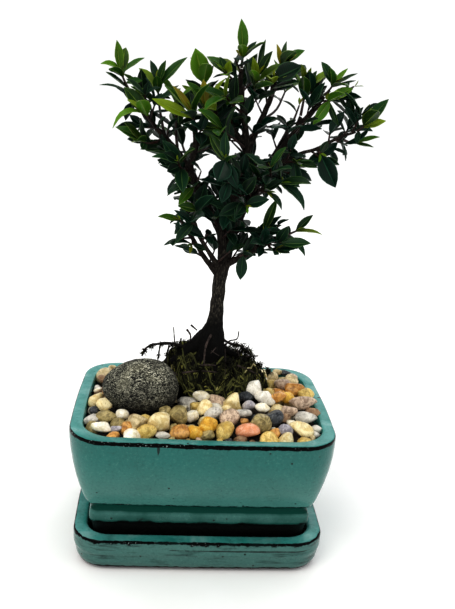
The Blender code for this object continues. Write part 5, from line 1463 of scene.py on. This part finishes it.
# Roots washed bare and dead stalks on the mound, each a list of (x, z, depth y) as the eye sees
# them on the trunk's plane, its radius and its tone: 0 is black, 1 pale and pinkish.
BARE_ROOTS = [
    ([(4, 124, 8), (1.2, 117, 3), (0.5, 110, 0), (0.6, 104, -3)], 0.75, 0.85),
    ([(7.6, 115.5, 3), (4.5, 111.5, 0)], 0.4, 0.7), ([(4.6, 113.3, 0), (10, 110, 0)], 0.35, 0.75),
    ([(-2, 103, -4), (3, 103.6, -4), (8, 103.5, -4)], 0.6, 0.95),
    ([(-13, 97.5, -6), (-6, 98.8, -6), (2, 99.3, -6), (9, 98.8, -5)], 0.6, 0.8),
    ([(13.4, 115, 2), (14.2, 106, -1), (14.6, 96, -4)], 0.35, 0.4),
    ([(-12, 115, 12), (-19, 117, 9), (-26.6, 117, 7), (-33, 115.6, 6), (-37, 113, 6),
      (-39, 108, 6)], 1.0, 0.12),
    ([(-27.8, 115.5, 7), (-28.6, 109, 5), (-29, 102, 3)], 0.5, 0.1),
    ([(-22, 116, 8), (-23.2, 110.5, 6), (-23.5, 104, 3)], 0.6, 0.15),
    ([(-18.6, 116, 8), (-19, 120, 8), (-19.9, 128.2, 8)], 0.45, 0.3),
    ([(-9, 130, 10), (-5, 126.6, 10)], 0.6, 0.2),
    ([(-11.5, 127, 10), (-9, 123, 10), (-9.4, 118, 10)], 0.6, 0.35),
    ([(13, 117, 14), (16, 120.4, 12), (20.6, 122, 12), (21.4, 127.3, 12)], 0.5, 0.25),
    ([(10, 122, 13), (17, 118.5, 11), (23, 117.5, 10), (29, 113, 8)], 0.9, 0.1),
    ([(21, 115, 8), (22.8, 110.4, 6)], 0.6, 0.35), ([(27, 110.4, 6), (35, 111, 8)], 0.6, 0.3),
    ([(22, 104, 0), (30, 101, 0), (36, 98, 2)], 0.5, 0.7),
    ([(-30, 101, -1), (-22, 100, -4), (-16, 96, -6)], 0.5, 0.6),
]

# Ragged tufts on the heap and the bare roots: x, z, depth y and reach.
MOSS_TUFTS = [
    (24, 115, 12, 3.5), (28, 113.5, 10, 3.0), (30, 110, 9, 3.0), (20, 118, 12, 2.5), (36, 105, 10, 2.5),
    (42, 101, 10, 2.5), (-20, 116.5, 9, 1.8), (-27, 116.5, 7, 1.6), (-33, 115, 6, 1.8),
    (-38, 111, 6, 1.8), (-16, 115, 11, 2.5), (-23.3, 110, 6, 1.4), (-28.6, 109, 5, 1.2),
    (16, 105, 0, 3.0), (-2, 100, -6, 2.5),
]

# Single strands that catch the light, each three places (x, z) as the eye sees them on the trunk's
# plane, its radius and its tone.
MOSS_STRAWS = [
    ((10.1, 88.7), (9.8, 84.3), (11.2, 79.9), 0.55, 0.96),
    ((-11.7, 83.6), (-9.1, 85.4), (-5.6, 84.9), 0.6, 0.86),
    ((-0.1, 84.0), (3.1, 86.3), (7.3, 85.7), 0.55, 0.88),
    ((-9.4, 92.4), (-5.2, 89.4), (-2.3, 91.2), 0.5, 0.82),
    ((15.7, 81.6), (18.3, 84.6), (20.9, 86.2), 0.55, 0.88),
    ((22.1, 98.7), (25.0, 96.3), (27.2, 93.8), 0.6, 0.84),
    ((30.9, 99.7), (35.1, 97.7), (37.5, 94.1), 0.5, 0.78),
    ((-14.1, 105.2), (-11.2, 102.5), (-8.6, 103.3), 0.5, 0.82),
    ((4.8, 104.5), (10.3, 103.3), (14.4, 101.7), 0.5, 0.8),
    ((1.6, 88.4), (5.0, 89.7), (8.4, 89.0), 0.55, 0.9),
    ((-12.3, 96.7), (-5.6, 97.5), (1.1, 97.5), 0.6, 0.84),
    ((0.4, 97.9), (5.2, 97.9), (8.5, 98.5), 0.6, 0.86),
    ((-8.0, 82.5), (-4.0, 80.0), (-1.0, 81.0), 0.5, 0.84),
    ((6.0, 93.0), (11.0, 92.0), (14.0, 94.0), 0.5, 0.8),
    ((18.0, 92.0), (22.0, 89.5), (26.0, 90.0), 0.5, 0.82),
    ((-12.0, 90.0), (-9.5, 86.5), (-10.5, 82.5), 0.5, 0.8),
]


def heap_top(x, y):
    """Height of the mossy heap with its fine relief."""
    return moss_top(x, y) + MOSS_RELIEF_FINE * noise.fractal(Vector((x, y, 0.0)) * 0.35, 0.9, 2.0, 4)


def on_heap(place):
    """Where the eye's line through a place on the trunk's plane meets the mossy heap."""
    for step in range(120):
        found = seen_at(*place, 0.4 * step - 30.0)
        if found.z < heap_top(found.x, found.y):
            break
    return found + (EYE - found).normalized() * 0.8


def make_dome(finishes):
    """The ragged heap itself, a dome whose rim lies in the soil."""
    bpy.ops.mesh.primitive_ico_sphere_add(subdivisions=6, radius=1.0)
    dome = bpy.context.object
    tones = []
    for vert in dome.data.vertices:
        angle = math.atan2(vert.co.y, vert.co.x)
        x, y = mound_point(angle, MOUND_EDGE * min(math.hypot(vert.co.x, vert.co.y), 1.0))
        z = heap_top(x, y) if vert.co.z >= 0.0 else SOIL_LEVEL + 0.6
        vert.co = Vector((x, y, z)) * MM
        tones.append(0.2 + 0.35 * noise.noise(Vector((x, y, 5.0)) * 0.3))
    give_attribute(dome.data, "tone", tones)
    settle(dome, "moss_dome", finishes, ["moss_mound"])


def strand_places(kind, draw):
    """A strand's line on the heap, how far it is from the trunk, and the heap's slope under it."""
    angle = draw.uniform(0, math.tau)
    x, y = mound_point(angle, math.sqrt(draw.uniform(kind.inmost, 1.0)) * 0.99)
    spread = draw.choice(kind.spreads)
    off = math.pi / 2 * draw.choice((-1, 1)) + draw.uniform(-spread, spread)
    step = draw.uniform(*kind.steps)
    lift = draw.uniform(*(LOW_LIFTS if draw.random() < LOW_SHARE else HIGH_LIFTS))
    away = min(math.hypot(x - TRUNK_X, y - TRUNK_Y) / TRUNK_SHADE, 1.0)
    line = []
    for level in range(STRAND_LEVELS):
        if mound_share(x, y) > 0.99:
            pull = MOUND_EDGE / mound_share(x, y)
            x, y = MOUND_X + (x - MOUND_X) * pull, MOUND_Y + (y - MOUND_Y) * pull
        arch = math.sin(math.pi * level / (STRAND_LEVELS - 1.0))
        line.append((x, y, heap_top(x, y) + kind.rise + lift * arch + draw.uniform(-0.2, 0.3)))
        off += draw.uniform(-kind.bend, kind.bend)
        heading = math.atan2(y - MOUND_Y, x - MOUND_X) + off
        x += step * math.cos(heading)
        y += step * math.sin(heading)
    slope = (moss_top(x - 1.0, y) - moss_top(x + 1.0, y),
             moss_top(x, y - 1.0) - moss_top(x, y + 1.0), 2.0)
    return line, away, slope


def strand_tone(kind, away, draw):
    """Most strands are dark, and those next to the trunk are the darkest."""
    bright = draw.random() * (0.1 + 0.9 * away)
    if bright < 0.4:
        tone = draw.uniform(0.5, 0.66)
    else:
        tone = draw.uniform(0.66, 0.84 if bright < 0.8 else 1.0)
    if kind is FINE:
        return tone * draw.uniform(0.5, 1.0)
    return min(tone + 0.06, 1.0) if bright > 0.75 else tone


def make_strands(strand, draw, finishes):
    """The flat strands that lie tangled on the heap."""
    copies = []
    for kind in [FINE] * FINE.number + [BROAD] * BROAD.number:
        line, away, slope = strand_places(kind, draw)
        radii = draw.uniform(*kind.thick) * STRAND_BODY
        copies.append(bent_tube(strand, line, radii, {"tone": strand_tone(kind, away, draw)}, up=slope))
    settle(plant(copies), "moss_strands", finishes)


def make_tufts(strand, draw, finishes):
    """Ragged tufts, and the single strands that catch the light."""
    copies = []
    for x, z, y, reach in MOSS_TUFTS:
        for _ in range(int(TUFT_STRANDS * reach)):
            place = np.array(seen_at(x, z, y)) + tossed(draw, TUFT_SCATTER * reach)
            way = unit(tossed(draw))
            line = [place]
            for _ in range(STRAND_LEVELS - 1):
                way = unit(way + 0.7 * tossed(draw) + (0, 0, -0.15))
                line.append(line[-1] + way * TUFT_STEP * reach)
            radii = draw.uniform(0.2, 0.45) * TUFT_BODY
            copies.append(bent_tube(strand, line, radii, {"tone": draw.uniform(0.2, 0.7)}))
    for *places, thick, tone in MOSS_STRAWS:
        line = smooth_line([on_heap(place) for place in places], STRAND_LEVELS)
        copies.append(bent_tube(strand, line, thick * STRAND_BODY, {"tone": tone}, up=(0.0, -1.0, 0.6)))
    settle(plant(copies), "moss_tufts", finishes)


def make_bare_roots(finishes):
    """Knotted roots that thin towards their ends."""
    tube = model_tube(7, ROOT_LEVELS)
    knots = 1.0 + 0.2 * np.sin(np.arange(ROOT_LEVELS) * 2.1)
    copies = []
    for points, radius, tone in BARE_ROOTS:
        line = smooth_line([seen_at(x, z, y) for x, z, y in points], ROOT_LEVELS)
        radii = radius * knots * np.linspace(1.1, 0.6, ROOT_LEVELS)
        copies.append(bent_tube(tube, line, radii, {"tone": tone}))
    settle(plant(copies), "bare_roots", finishes)


def make_moss(finishes, root_finishes):
    """A ragged mossy heap, the flat strands that lie tangled on it, and roots washed bare."""
    make_dome(finishes)
    strand = model_tube(4, STRAND_LEVELS, 0.3)
    draw = random.Random(MOSS_SEED)
    make_strands(strand, draw, finishes)
    make_tufts(strand, draw, finishes)
    make_bare_roots(root_finishes)


# Pebbles seen from the front: x, y, z of the middle, half length, half height, tilt in degrees in
# the picture, kind.
PEBBLES = [
    (-67, 40, 84, 6.7, 5.0, 20, "tan"), (-59, 46, 86, 3.4, 2.3, 0, "tan"),
    (-63, 27, 85, 2.4, 6.3, 60, "brown"), (-66, 9, 86, 2.7, 1.3, 15, "white"),
    (-68, -6, 86, 5.1, 5.1, 0, "cream"), (-60, -15, 87, 4.2, 4.6, 80, "cream"),
    (-65, -17, 84, 3.5, 2.2, 0, "charcoal"), (-57, -28, 86, 5.6, 3.2, 10, "olive"),
    (-66, -30, 84, 3.4, 4.1, 90, "grey"), (-48, -28, 87, 3.6, 2.9, 0, "white"),
    (-58, -42, 85, 5.8, 3.3, -15, "white"), (-50, -41, 84, 2.1, 3.6, 90, "lilac"),
    (-44, -40, 84, 4.5, 4.0, 0, "amber"), (-39, -38, 87, 6.2, 4.6, -10, "tan"),
    (-33, -44, 84.5, 6.1, 4.0, 25, "honey"), (-26, -37, 87, 7.5, 5.0, -10, "cream"),
    (-24, -46, 83.5, 4.2, 1.9, 0, "grey"), (-23, -24, 88, 3.7, 3.5, 0, "olive"),
    (-15, -29, 88, 5.7, 6.1, -45, "olive"), (-14, -44, 84.5, 5.9, 4.0, 15, "amber"),
    (-8, -28, 87, 4.1, 5.4, -50, "white"), (-6, -43, 84, 3.8, 4.2, 60, "yellow"),
    (1, -37, 86.5, 6.0, 4.6, 10, "yellow"), (1, -45, 83.5, 4.7, 2.5, 20, "olive"),
    (-4, -16, 88.5, 4.2, 3.0, 20, "honey"), (0, -21, 89, 4.8, 4.2, 45, "cream"),
    (-1, -7, 91, 5.1, 3.1, 0, "white"), (6, -25, 88, 4.4, 5.1, 90, "grey"),
    (18, -13, 90, 6.1, 5.6, 0, "cream"), (14, -17, 88, 2.8, 2.2, 0, "cream"),
    (12, -42, 85, 5.2, 5.2, 0, "honey"), (15, -32, 88, 5.1, 5.9, -60, "pink"),
    (24, -24, 88, 4.8, 2.8, 0, "grey"), (28, -15, 89, 3.8, 3.2, 0, "lilac"),
    (23, -33, 87, 2.9, 1.9, 0, "amber"), (25, -42, 85, 6.7, 4.6, 5, "salmon"),
    (32, -36, 87, 5.6, 7.8, -60, "olive"), (27, -3, 90, 5.0, 3.1, 0, "charcoal"),
    (33, 4, 94, 5.5, 5.5, 40, "quartz"), (39, -5, 91, 7.0, 4.6, -20, "quartz"),
    (36, -17, 89, 4.5, 2.5, 0, "white"), (41, -28, 88, 4.5, 5.7, -60, "charcoal"),
    (41, -41, 84, 3.1, 3.2, 0, "amber"), (47, -39, 85, 3.5, 4.6, 80, "lilac"),
    (48, -25, 86, 2.8, 4.0, 90, "brown"), (52, -19, 88, 4.8, 4.5, 0, "pink"),
    (46, -3, 90, 3.1, 6.9, -60, "amber"), (54, -1, 89.5, 4.7, 3.3, 10, "yellow"),
    (57, -37, 85, 7.8, 4.7, -5, "cream"), (67, -33, 83.5, 2.2, 3.4, 90, "grey"),
    (62, -24, 86.5, 6.5, 3.8, -10, "grey"), (63, -7, 88, 8.8, 4.7, 5, "pink"),
    (71, -14, 85.5, 2.5, 4.6, 90, "brown"), (62, 17, 88, 7.1, 4.6, -15, "amber"),
    (70, 9, 87, 5.4, 4.1, 25, "honey"), (54, 22, 89, 4.2, 6.0, 80, "pink"),
    (49, 35, 88, 3.6, 3.4, 0, "tan"), (53, 46, 88, 3.4, 2.1, 0, "tan"),
    (61, 32, 87.5, 4.5, 3.8, -20, "tan"), (66, 43, 86.5, 4.1, 2.3, -20, "pink"),
    (60, 48, 87, 3.5, 1.7, 0, "charcoal"),
]

# Smaller pebbles fill what is left: a seed, tries, largest and smallest size, and kinds by how often
# they are seen.
FILL_SEED = 7
FILL_TRIES = 6400
FILL_SIZES = (7.0, 2.0)
SEEN_KINDS = ("cream", "honey", "amber", "yellow", "tan", "olive", "grey", "white", "pink", "brown",
              "charcoal", "cream", "tan", "white", "honey", "olive")
# How far the fill may reach under the egg, and the most that a pebble is pushed off the wall.
STONE_SINK = 3.0
WALL_PUSH = 3.0


def worn_pebble(model, place, half_long, half_tall, turn, tilt, draw):
    """A pebble model's points, worn by three shallow waves, sized, tilted and put in place."""
    points = model[0].copy()
    for _ in range(draw.choice((4, 7, 9))):
        way = unit(tossed(draw))
        points -= way * (0.85 * np.maximum(points @ way - draw.uniform(0.5, 0.85), 0.0))[:, None]
    points *= 1.1
    wear_by = np.ones(len(points))
    for _ in range(3):
        way = unit(tossed(draw))
        wear_by += 0.06 * np.sin(points @ way * draw.uniform(1.5, 3.6) + draw.uniform(0, math.tau))
    points = np.sign(points) * np.abs(points) ** draw.uniform(0.86, 1.0) * wear_by[:, None]
    wide = min(half_long, half_tall) * draw.uniform(0.85, 1.0) + 0.12 * max(half_long, half_tall)
    points = points * (half_long, wide, half_tall)
    turned = Matrix.Rotation(turn, 3, "Z") @ Matrix.Rotation(-tilt, 3, "Y")
    return points @ np.array(turned).T + np.array(place)


def seen_pebbles(model, taken, draw):
    """The pebbles that can be told apart from the front, each pushed clear of the wall."""
    kinds = list(PEBBLE_KINDS)
    copies = []
    for x, y, z, half_long, half_tall, tilt, kind in PEBBLES:
        push = min(max(half_long, half_tall) * 0.8 - wall_distance(x, y), WALL_PUSH)
        if push > 0.0:
            x -= math.copysign(push, x) if abs(x) > 50 else 0.0
            y -= math.copysign(push, y) if abs(y) > 38 else 0.0
        taken.append((x, y, 0.8 * half_long + 0.2 * half_tall))
        placed = worn_pebble(model, (x, y, z), half_long, half_tall, draw.uniform(-0.2, 0.2),
                             math.radians(tilt), draw)
        copies.append((model, placed, {"tone": draw.uniform(0.2, 0.8)}, kinds.index(kind)))
    return copies


def is_taken(x, y, size, taken):
    """True where a pebble would meet the wall, the mound, the egg or another pebble."""
    egg = math.hypot((x - STONE_CENTRE[0]) / (STONE_HALF[0] - STONE_SINK + size),
                     (y - STONE_CENTRE[1]) / (STONE_HALF[1] - STONE_SINK + size))
    if wall_distance(x, y) < 0.62 * size + 0.3 or mound_distance(x, y) < 0.2 * size or egg < 1.0:
        return True
    return any(math.hypot(x - other[0], y - other[1]) < 0.8 * (size + other[2]) for other in taken)


def fill_pebbles(model, small_model, taken, draw):
    """Pebbles from large to small wherever there is room."""
    kinds = list(PEBBLE_KINDS)
    copies = []
    for attempt in range(FILL_TRIES):
        size = FILL_SIZES[0] + (FILL_SIZES[1] - FILL_SIZES[0]) * (attempt / FILL_TRIES) ** 0.7
        x = draw.uniform(-1, 1) * (RIM_X - LIP_WIDTH)
        y = draw.uniform(-1, 1) * (RIM_Y - LIP_WIDTH)
        if is_taken(x, y, size, taken):
            continue
        taken.append((x, y, size))
        used = model if size > 5.0 else small_model
        z = bed_height(x, y) + (1.6 if wall_distance(x, y) < 6.0 else 0.5) + 0.15 * size
        placed = worn_pebble(used, (x, y, z), size * draw.uniform(0.95, 1.2), size * draw.uniform(0.6, 0.9),
                             draw.uniform(0, math.pi), math.radians(draw.uniform(-18, 18)), draw)
        copies.append((used, placed, {"tone": draw.uniform(0.0, 1.0)}, kinds.index(draw.choice(SEEN_KINDS))))
    return copies


def make_gravel(finishes, grit):
    """River pebbles lying on their bed of damp grit."""
    draw = random.Random(FILL_SEED)
    model = model_pebble(3)
    taken = []
    copies = seen_pebbles(model, taken, draw) + fill_pebbles(model, model_pebble(2), taken, draw)
    settle(plant(copies), "river_pebbles", finishes, angle=180.0)
    wall = wall_inset(SOIL_LEVEL) + 0.3
    rings = [pot_outline(wall, SOIL_LEVEL + 0.6), pot_outline(wall, BED_EDGE - 1.5)]
    for level in range(1, 34):
        ring = []
        for x, y, _ in pot_outline(wall + 1.5 * level, 0.0):
            rough = 0.7 * noise.fractal(Vector((x, y, 0)) * 0.5, 1.0, 2.0, 3)
            ring.append((x, y, bed_height(x, y) - 1.0 + rough))
        rings.append(ring)
    settle(new_object(*loft(rings)), "grit_bed", grit, ["gravel"])


def make_stone(finishes):
    """The granite egg: its blunt end to the right, with a finely pitted skin."""
    bpy.ops.mesh.primitive_ico_sphere_add(subdivisions=7, radius=1.0)
    egg = bpy.context.object
    for vert in egg.data.vertices:
        place = vert.co.copy()
        blunt = 1.0 + STONE_BLUNT * place.x
        skin = 0.997 + 0.018 * noise.noise(place * 1.7) + 0.012 * noise.fractal(place * 9.0, 1.0, 2.0, 3)
        vert.co = Vector((STONE_CENTRE[0] + STONE_HALF[0] * place.x * skin,
                          STONE_CENTRE[1] + STONE_HALF[1] * place.y * blunt * skin,
                          STONE_CENTRE[2] + STONE_HALF[2] * place.z * blunt * skin)) * MM
    settle(egg, "granite_egg", finishes, ["stone"], 180.0)


# The pot and its tray: points on each corner and side, the longest step of a profile, how far the
# walls wander, and half the height of the tools that cut the arches between the feet.
OUTLINE_CORNER = 16
OUTLINE_SIDE = 10
PROFILE_STEP = 2.0
WOBBLE = 0.3
ARCH_HALF = 4.0


def side_outline(half_x, half_y, corner, bow):
    """Points round a rectangle with arc corners and sides that bow outwards."""
    points = []
    for number, (sign_x, sign_y) in enumerate(((1, 1), (-1, 1), (-1, -1), (1, -1))):
        centre = (sign_x * (half_x - corner), sign_y * (half_y - corner))
        for step in range(OUTLINE_CORNER + 1):
            angle = math.radians(90 * (number + step / OUTLINE_CORNER))
            points.append((centre[0] + corner * math.cos(angle), centre[1] + corner * math.sin(angle)))
        for step in range(1, OUTLINE_SIDE):
            share = step / OUTLINE_SIDE
            swell = bow * math.sin(math.pi * share)
            if sign_x == sign_y:
                along = (half_x - corner) * (1 - 2 * share) * sign_x
                points.append((along, sign_y * (half_y + swell)))
            else:
                along = (half_y - corner) * (1 - 2 * share) * sign_y
                points.append((sign_x * (half_x + swell), along))
    return points


def rounded_outline(half_x, half_y, corner, inset, z, shrink):
    radius = max(corner - shrink * inset, LEAST_CORNER)
    return [(x, y, z) for x, y in side_outline(half_x - inset, half_y - inset, radius, RIM_BOW)]


def pot_outline(inset, z, shrink=CORNER_SHRINK):
    return rounded_outline(RIM_X, RIM_Y, RIM_CORNER, inset, z, shrink)


def tray_outline(inset, z, shrink):
    return rounded_outline(TRAY_X, TRAY_Y, TRAY_CORNER, inset, z, shrink)


def eased(rows):
    """A profile's rows with more between them, so that no step is long."""
    out = [rows[0]]
    for start, end in zip(rows, rows[1:]):
        count = max(1, math.ceil(math.dist(start[:2], end[:2]) / PROFILE_STEP))
        for number in range(1, count + 1):
            share = number / count
            out.append(tuple(a + (b - a) * share for a, b in zip(start, end)))
    return out


def thrown(outline, outer, inner, outer_shrink):
    """A hand-finished wall from its profile.

    Each row is an inset, a height, and how far it is lip, pool of glaze and painted shade, thin and bare.
    """
    rows = [row + (outer_shrink,) for row in outer] + [row + (CORNER_SHRINK,) for row in inner]
    rows = eased(rows)
    points, faces = loft([outline(row[0], row[1], row[-1]) for row in rows])
    wobbled = []
    for x, y, z in points:
        sway = noise.noise_vector(Vector((x, y, z * 1.5)) * 0.028)
        high = min(max((z - 3.0) / 8.0, 0.0), 1.0)
        wobbled.append((x + WOBBLE * sway.x, y + WOBBLE * sway.y, z + WOBBLE * high * sway.z))
    item = new_object(wobbled, faces)
    around = len(points) // len(rows)
    for number, fact in enumerate(("lip", "pool_and_shade", "thin", "bare")):
        give_attribute(item.data, fact, np.repeat([row[2 + number] for row in rows], around))
    return item


# Height of the body's lower edge, which runs a little past the solid's.
BODY_FOOT = BODY_LOW - 0.9
BODY_HEIGHTS = (46.0, 51.0, 57.0, 64.0, 72.0, 79.0, RIM_EDGE - 1.9)


def pot_cutters():
    """The recess under the pot, the arches between its feet and its two drain holes."""
    low = pot_outline(FOOT_INSET + FOOT_RING, FOOT_LOW - 2.0)
    high = pot_outline(FOOT_INSET + FOOT_RING + 1.0, FOOT_LOW + FOOT_HEIGHT)
    cutters = [new_object(*loft([low, high]))]
    for half_x, half_y in ((FOOT_ARCH_X, RIM_Y + 5.0), (RIM_X + 5.0, FOOT_ARCH_Y)):
        bpy.ops.mesh.primitive_cube_add(size=2.0)
        arch = bpy.context.object
        arch.scale = (half_x * MM, half_y * MM, ARCH_HALF * MM)
        arch.location.z = (FOOT_LOW + FOOT_HEIGHT - 0.7 - ARCH_HALF) * MM
        cutters.append(arch)
    for side in (-1, 1):
        bpy.ops.mesh.primitive_cylinder_add(vertices=40, radius=DRAIN_RADIUS * MM, depth=20.0 * MM,
                                            location=(side * DRAIN_X * MM, 0.0, (FOOT_LOW + 10.0) * MM))
        cutters.append(bpy.context.object)
    return cutters


def make_pot(finishes):
    # In the pool column the groove under the body and the foot band carry painted shade as well as pooled
    # glaze: their deep green, a little darker towards the tray, stands in for the shade they lie in.
    outer = [(FOOT_INSET, FOOT_LOW, 0, 0, 0, 1),
             (CLAY_INSET + 0.4, CLAY_TOP - 2.0, 0, 0, 0, 1),
             (CLAY_INSET, CLAY_TOP - 0.2, 0, 0, 0, 1),
             (CLAY_INSET - 0.4, CLAY_TOP + 0.6, 0, 0, 0.6, 0.8),
             (FOOT_BAND_INSET + 0.4, CLAY_TOP + 1.1, 0, 0, 0.4, 0.6),
             (FOOT_BAND_INSET + 0.1, CLAY_TOP + 1.8, 0, 0.5, 0.2, 0.4),
             (FOOT_BAND_INSET, CLAY_TOP + 2.6, 0, 0.35, 0, 0.2),
             (FOOT_BAND_INSET, GROOVE_LOW - 2.4, 0, 0.33, 0, 0),
             (FOOT_BAND_INSET + 0.2, GROOVE_LOW - 0.8, 0, 0.3, 0, 0),
             (FOOT_BAND_INSET + 0.7, GROOVE_LOW + 0.3, 0, 0.45, 0, 0),
             (FOOT_BAND_INSET + 1.5, GROOVE_LOW + 1.2, 0, 0.9, 0, 0),
             (GROOVE_INSET - 0.4, GROOVE_LOW + 2.1, 0, 1, 0, 0),
             (GROOVE_INSET - 0.3, BODY_FOOT - 2.8, 0, 1, 0, 0),
             (GROOVE_INSET - 1.2, BODY_FOOT - 1.4, 0, 1, 0, 0),
             (BODY_TAPER + 1.2, BODY_FOOT - 0.7, 0, 0.8, 0.3, 0),
             (BODY_TAPER + 0.2, BODY_FOOT + 0.1, 0, 0.1, 0.8, 0),
             (body_inset(BODY_FOOT + 1.2), BODY_FOOT + 1.2, 0, 0, 0.1, 0)]
    outer += [(body_inset(z) + 0.2, z, 0, 0, 0, 0) for z in BODY_HEIGHTS]
    outer += [(0.35, RIM_EDGE - 1.1, 0, 0, 0.5, 0), (0.3, RIM_EDGE - 0.4, 0, 0, 1.0, 0),
              (0.3, RIM_EDGE, 0, 0, 1.2, 0), (0.5, RIM_EDGE + 0.7, 0.2, 0, 1.1, 0),
              (0.9, RIM_TOP - 0.25, 0.8, 0, 0.6, 0), (1.7, RIM_TOP, 1, 0, 0, 0)]
    inner = [(LIP_WIDTH - 1.8, RIM_TOP, 1, 0, 0, 0), (LIP_WIDTH - 0.7, RIM_TOP - 0.5, 1, 0, 0.3, 0),
             (LIP_WIDTH - 0.2, RIM_TOP - 2.0, 0.8, 0, 0, 0), (wall_inset(78.0), 78.0, 0, 0.3, 0, 0)]
    inner += [(wall_inset(z), z, 0, 0, 0, 1) for z in (SOIL_LEVEL, 60.0, BODY_LOW, POT_FLOOR + 3.0)]
    inner += [(wall_inset(POT_FLOOR) + 3.0, POT_FLOOR, 0, 0, 0, 1)]
    pot = thrown(pot_outline, outer, inner, BODY_SHRINK)
    for cutter in pot_cutters():
        apply_modifier(pot, "BOOLEAN", object=cutter, operation="DIFFERENCE", solver="MANIFOLD")
        bpy.data.objects.remove(cutter, do_unlink=True)
    settle(pot, "glazed_pot", finishes, ["pot"], 40.0)


def make_tray(finishes):
    outer = [(8.0, 0.1, 0, 0, 0, 1), (7.4, 0.1, 0, 0, 0, 1), (6.9, TRAY_FOOT, 0, 0, 0, 1),
             (4.0, TRAY_FOOT + 0.3, 0, 0, 0, 1), (3.1, TRAY_FOOT + 0.9, 0, 0, 0.3, 1),
             (2.8, 2.9, 0, 0, 1, 0.75), (2.5, 3.6, 0, 0, 0.6, 0.1), (1.7, 5.5, 0, 0.1, 0, 0),
             (1.2, 8.5, 0, 0, 0, 0), (0.75, 11.4, 0, 0.2, 0.15, 0), (0.35, 12.2, 0, 0.1, 0.35, 0),
             (0.2, 13.0, 0, 0, 0.15, 0), (0.2, 16.5, 0, 0, 0, 0), (0.2, TRAY_TOP - 1.7, 0, 0, 0.55, 0),
             (0.35, TRAY_TOP - 0.8, 0.2, 0, 1.0, 0), (0.8, TRAY_TOP - 0.2, 0.7, 0, 0.7, 0),
             (1.7, TRAY_TOP, 1, 0, 0, 0)]
    inner = [(TRAY_WALL - 1.8, TRAY_TOP, 1, 0, 0, 0), (TRAY_WALL - 0.9, TRAY_TOP - 0.3, 0.8, 0, 0.5, 0),
             (TRAY_WALL - 0.2, TRAY_TOP - 1.3, 0.2, 0, 0.3, 0), (TRAY_WALL + 0.2, 15.0, 0, 0, 0, 0),
             (TRAY_WALL + 0.6, 10.0, 0, 0.2, 0, 0), (TRAY_WALL + 1.1, 7.4, 0, 0.8, 0, 0),
             (TRAY_WALL + 2.2, TRAY_FLOOR, 0, 0.6, 0, 0), (TRAY_WALL + 10.0, TRAY_FLOOR, 0, 0.1, 0, 0),
             (TRAY_WALL + 28.0, TRAY_FLOOR, 0, 0.1, 0, 0)]
    tray = thrown(tray_outline, outer, inner, CORNER_SHRINK)
    settle(tray, "glazed_tray", finishes, ["saucer"], 40.0)


# Light, floor and eye, in metres. Each lamp has its place, side length, power and tint.
LAMPS = {
    "key_light": ((-0.55, -0.75, 1.15), 0.7, 7.0, "fffaf2"),
    "fill_light": ((0.9, -0.7, 0.5), 0.9, 1.0, "f4f8ff"),
    "back_light": ((0.3, 0.9, 0.9), 0.6, 2.0, "ffffff"),
}
LAMP_TARGET = (0.0, 0.0, 0.13)
STUDIO_LIGHT = 1.04
CONTRAST = 0.8


def area_light(name, place, size, power, tint):
    light = bpy.data.lights.new(name, "AREA")
    light.shape = "SQUARE"
    light.size = size
    light.energy = power
    light.color = colour(tint)[:3]
    item = bpy.data.objects.new(name, light)
    item.location = place
    item.rotation_euler = (Vector(LAMP_TARGET) - Vector(place)).to_track_quat("-Z", "Y").to_euler()
    bpy.context.scene.collection.objects.link(item)


def make_studio():
    bpy.ops.mesh.primitive_plane_add(size=6.0, location=(0.0, 0.0, -0.0001))
    floor = bpy.context.object
    floor.name = "studio_floor"
    wear(floor, plain_finish("studio_paper"))
    for name, lamp in LAMPS.items():
        area_light(name, *lamp)
    world = bpy.data.worlds.new("studio_white")
    bpy.context.scene.world = world
    world.use_nodes = True
    background = world.node_tree.nodes["Background"]
    feed(world.node_tree, background, {"Color": colour("ffffff"), "Strength": STUDIO_LIGHT})
    bpy.context.scene.view_settings.view_transform = "Standard"
    bpy.context.scene.view_settings.gamma = CONTRAST


def make_eye():
    yaw, pitch, roll = (math.radians(turn) for turn in (EYE_YAW, EYE_PITCH, EYE_ROLL))
    forward = Vector((math.sin(yaw) * math.cos(pitch), math.cos(yaw) * math.cos(pitch), -math.sin(pitch)))
    right = forward.cross(Vector((0, 0, 1))).normalized()
    up = right.cross(forward)
    level = right * math.cos(roll) + up * math.sin(roll)
    upright = up * math.cos(roll) - right * math.sin(roll)
    camera = bpy.data.objects.new("photo_eye", bpy.data.cameras.new("photo_eye"))
    turned = Matrix((level, upright, -forward)).transposed()
    camera.matrix_world = Matrix.Translation(EYE * MM) @ turned.to_4x4()
    camera.data.sensor_fit = "VERTICAL"
    camera.data.sensor_height = SENSOR
    camera.data.lens = FOCAL
    camera.data.clip_start = 0.01
    bpy.context.scene.collection.objects.link(camera)
    bpy.context.scene.camera = camera


def main():
    noise.seed_set(NOISE_SEED)
    glaze = [teal_glaze()]
    leaf_finishes = [leaf_skin("brush_cherry_leaf", False), leaf_skin("brush_cherry_leaf_underside", True),
                     plain_finish("young_twig_skin")]
    leaves, obstacles = grow_leaves()
    make_crown(leaves, grow_shoots(obstacles), leaf_finishes)
    make_wood([cherry_bark()])
    make_moss([long_moss()], [pale_root()])
    make_gravel([river_pebble(kind) for kind in PEBBLE_KINDS], [plain_finish("damp_grit")])
    make_stone([granite()])
    make_pot(glaze)
    make_tray(glaze)
    mesh = plain_finish("black_polyethylene_mesh")
    wear(bpy.data.objects["soil"], plain_finish("potting_soil"))
    wear(bpy.data.objects["drain_screen_left"], mesh)
    wear(bpy.data.objects["drain_screen_right"], mesh)
    make_studio()
    make_eye()


main()
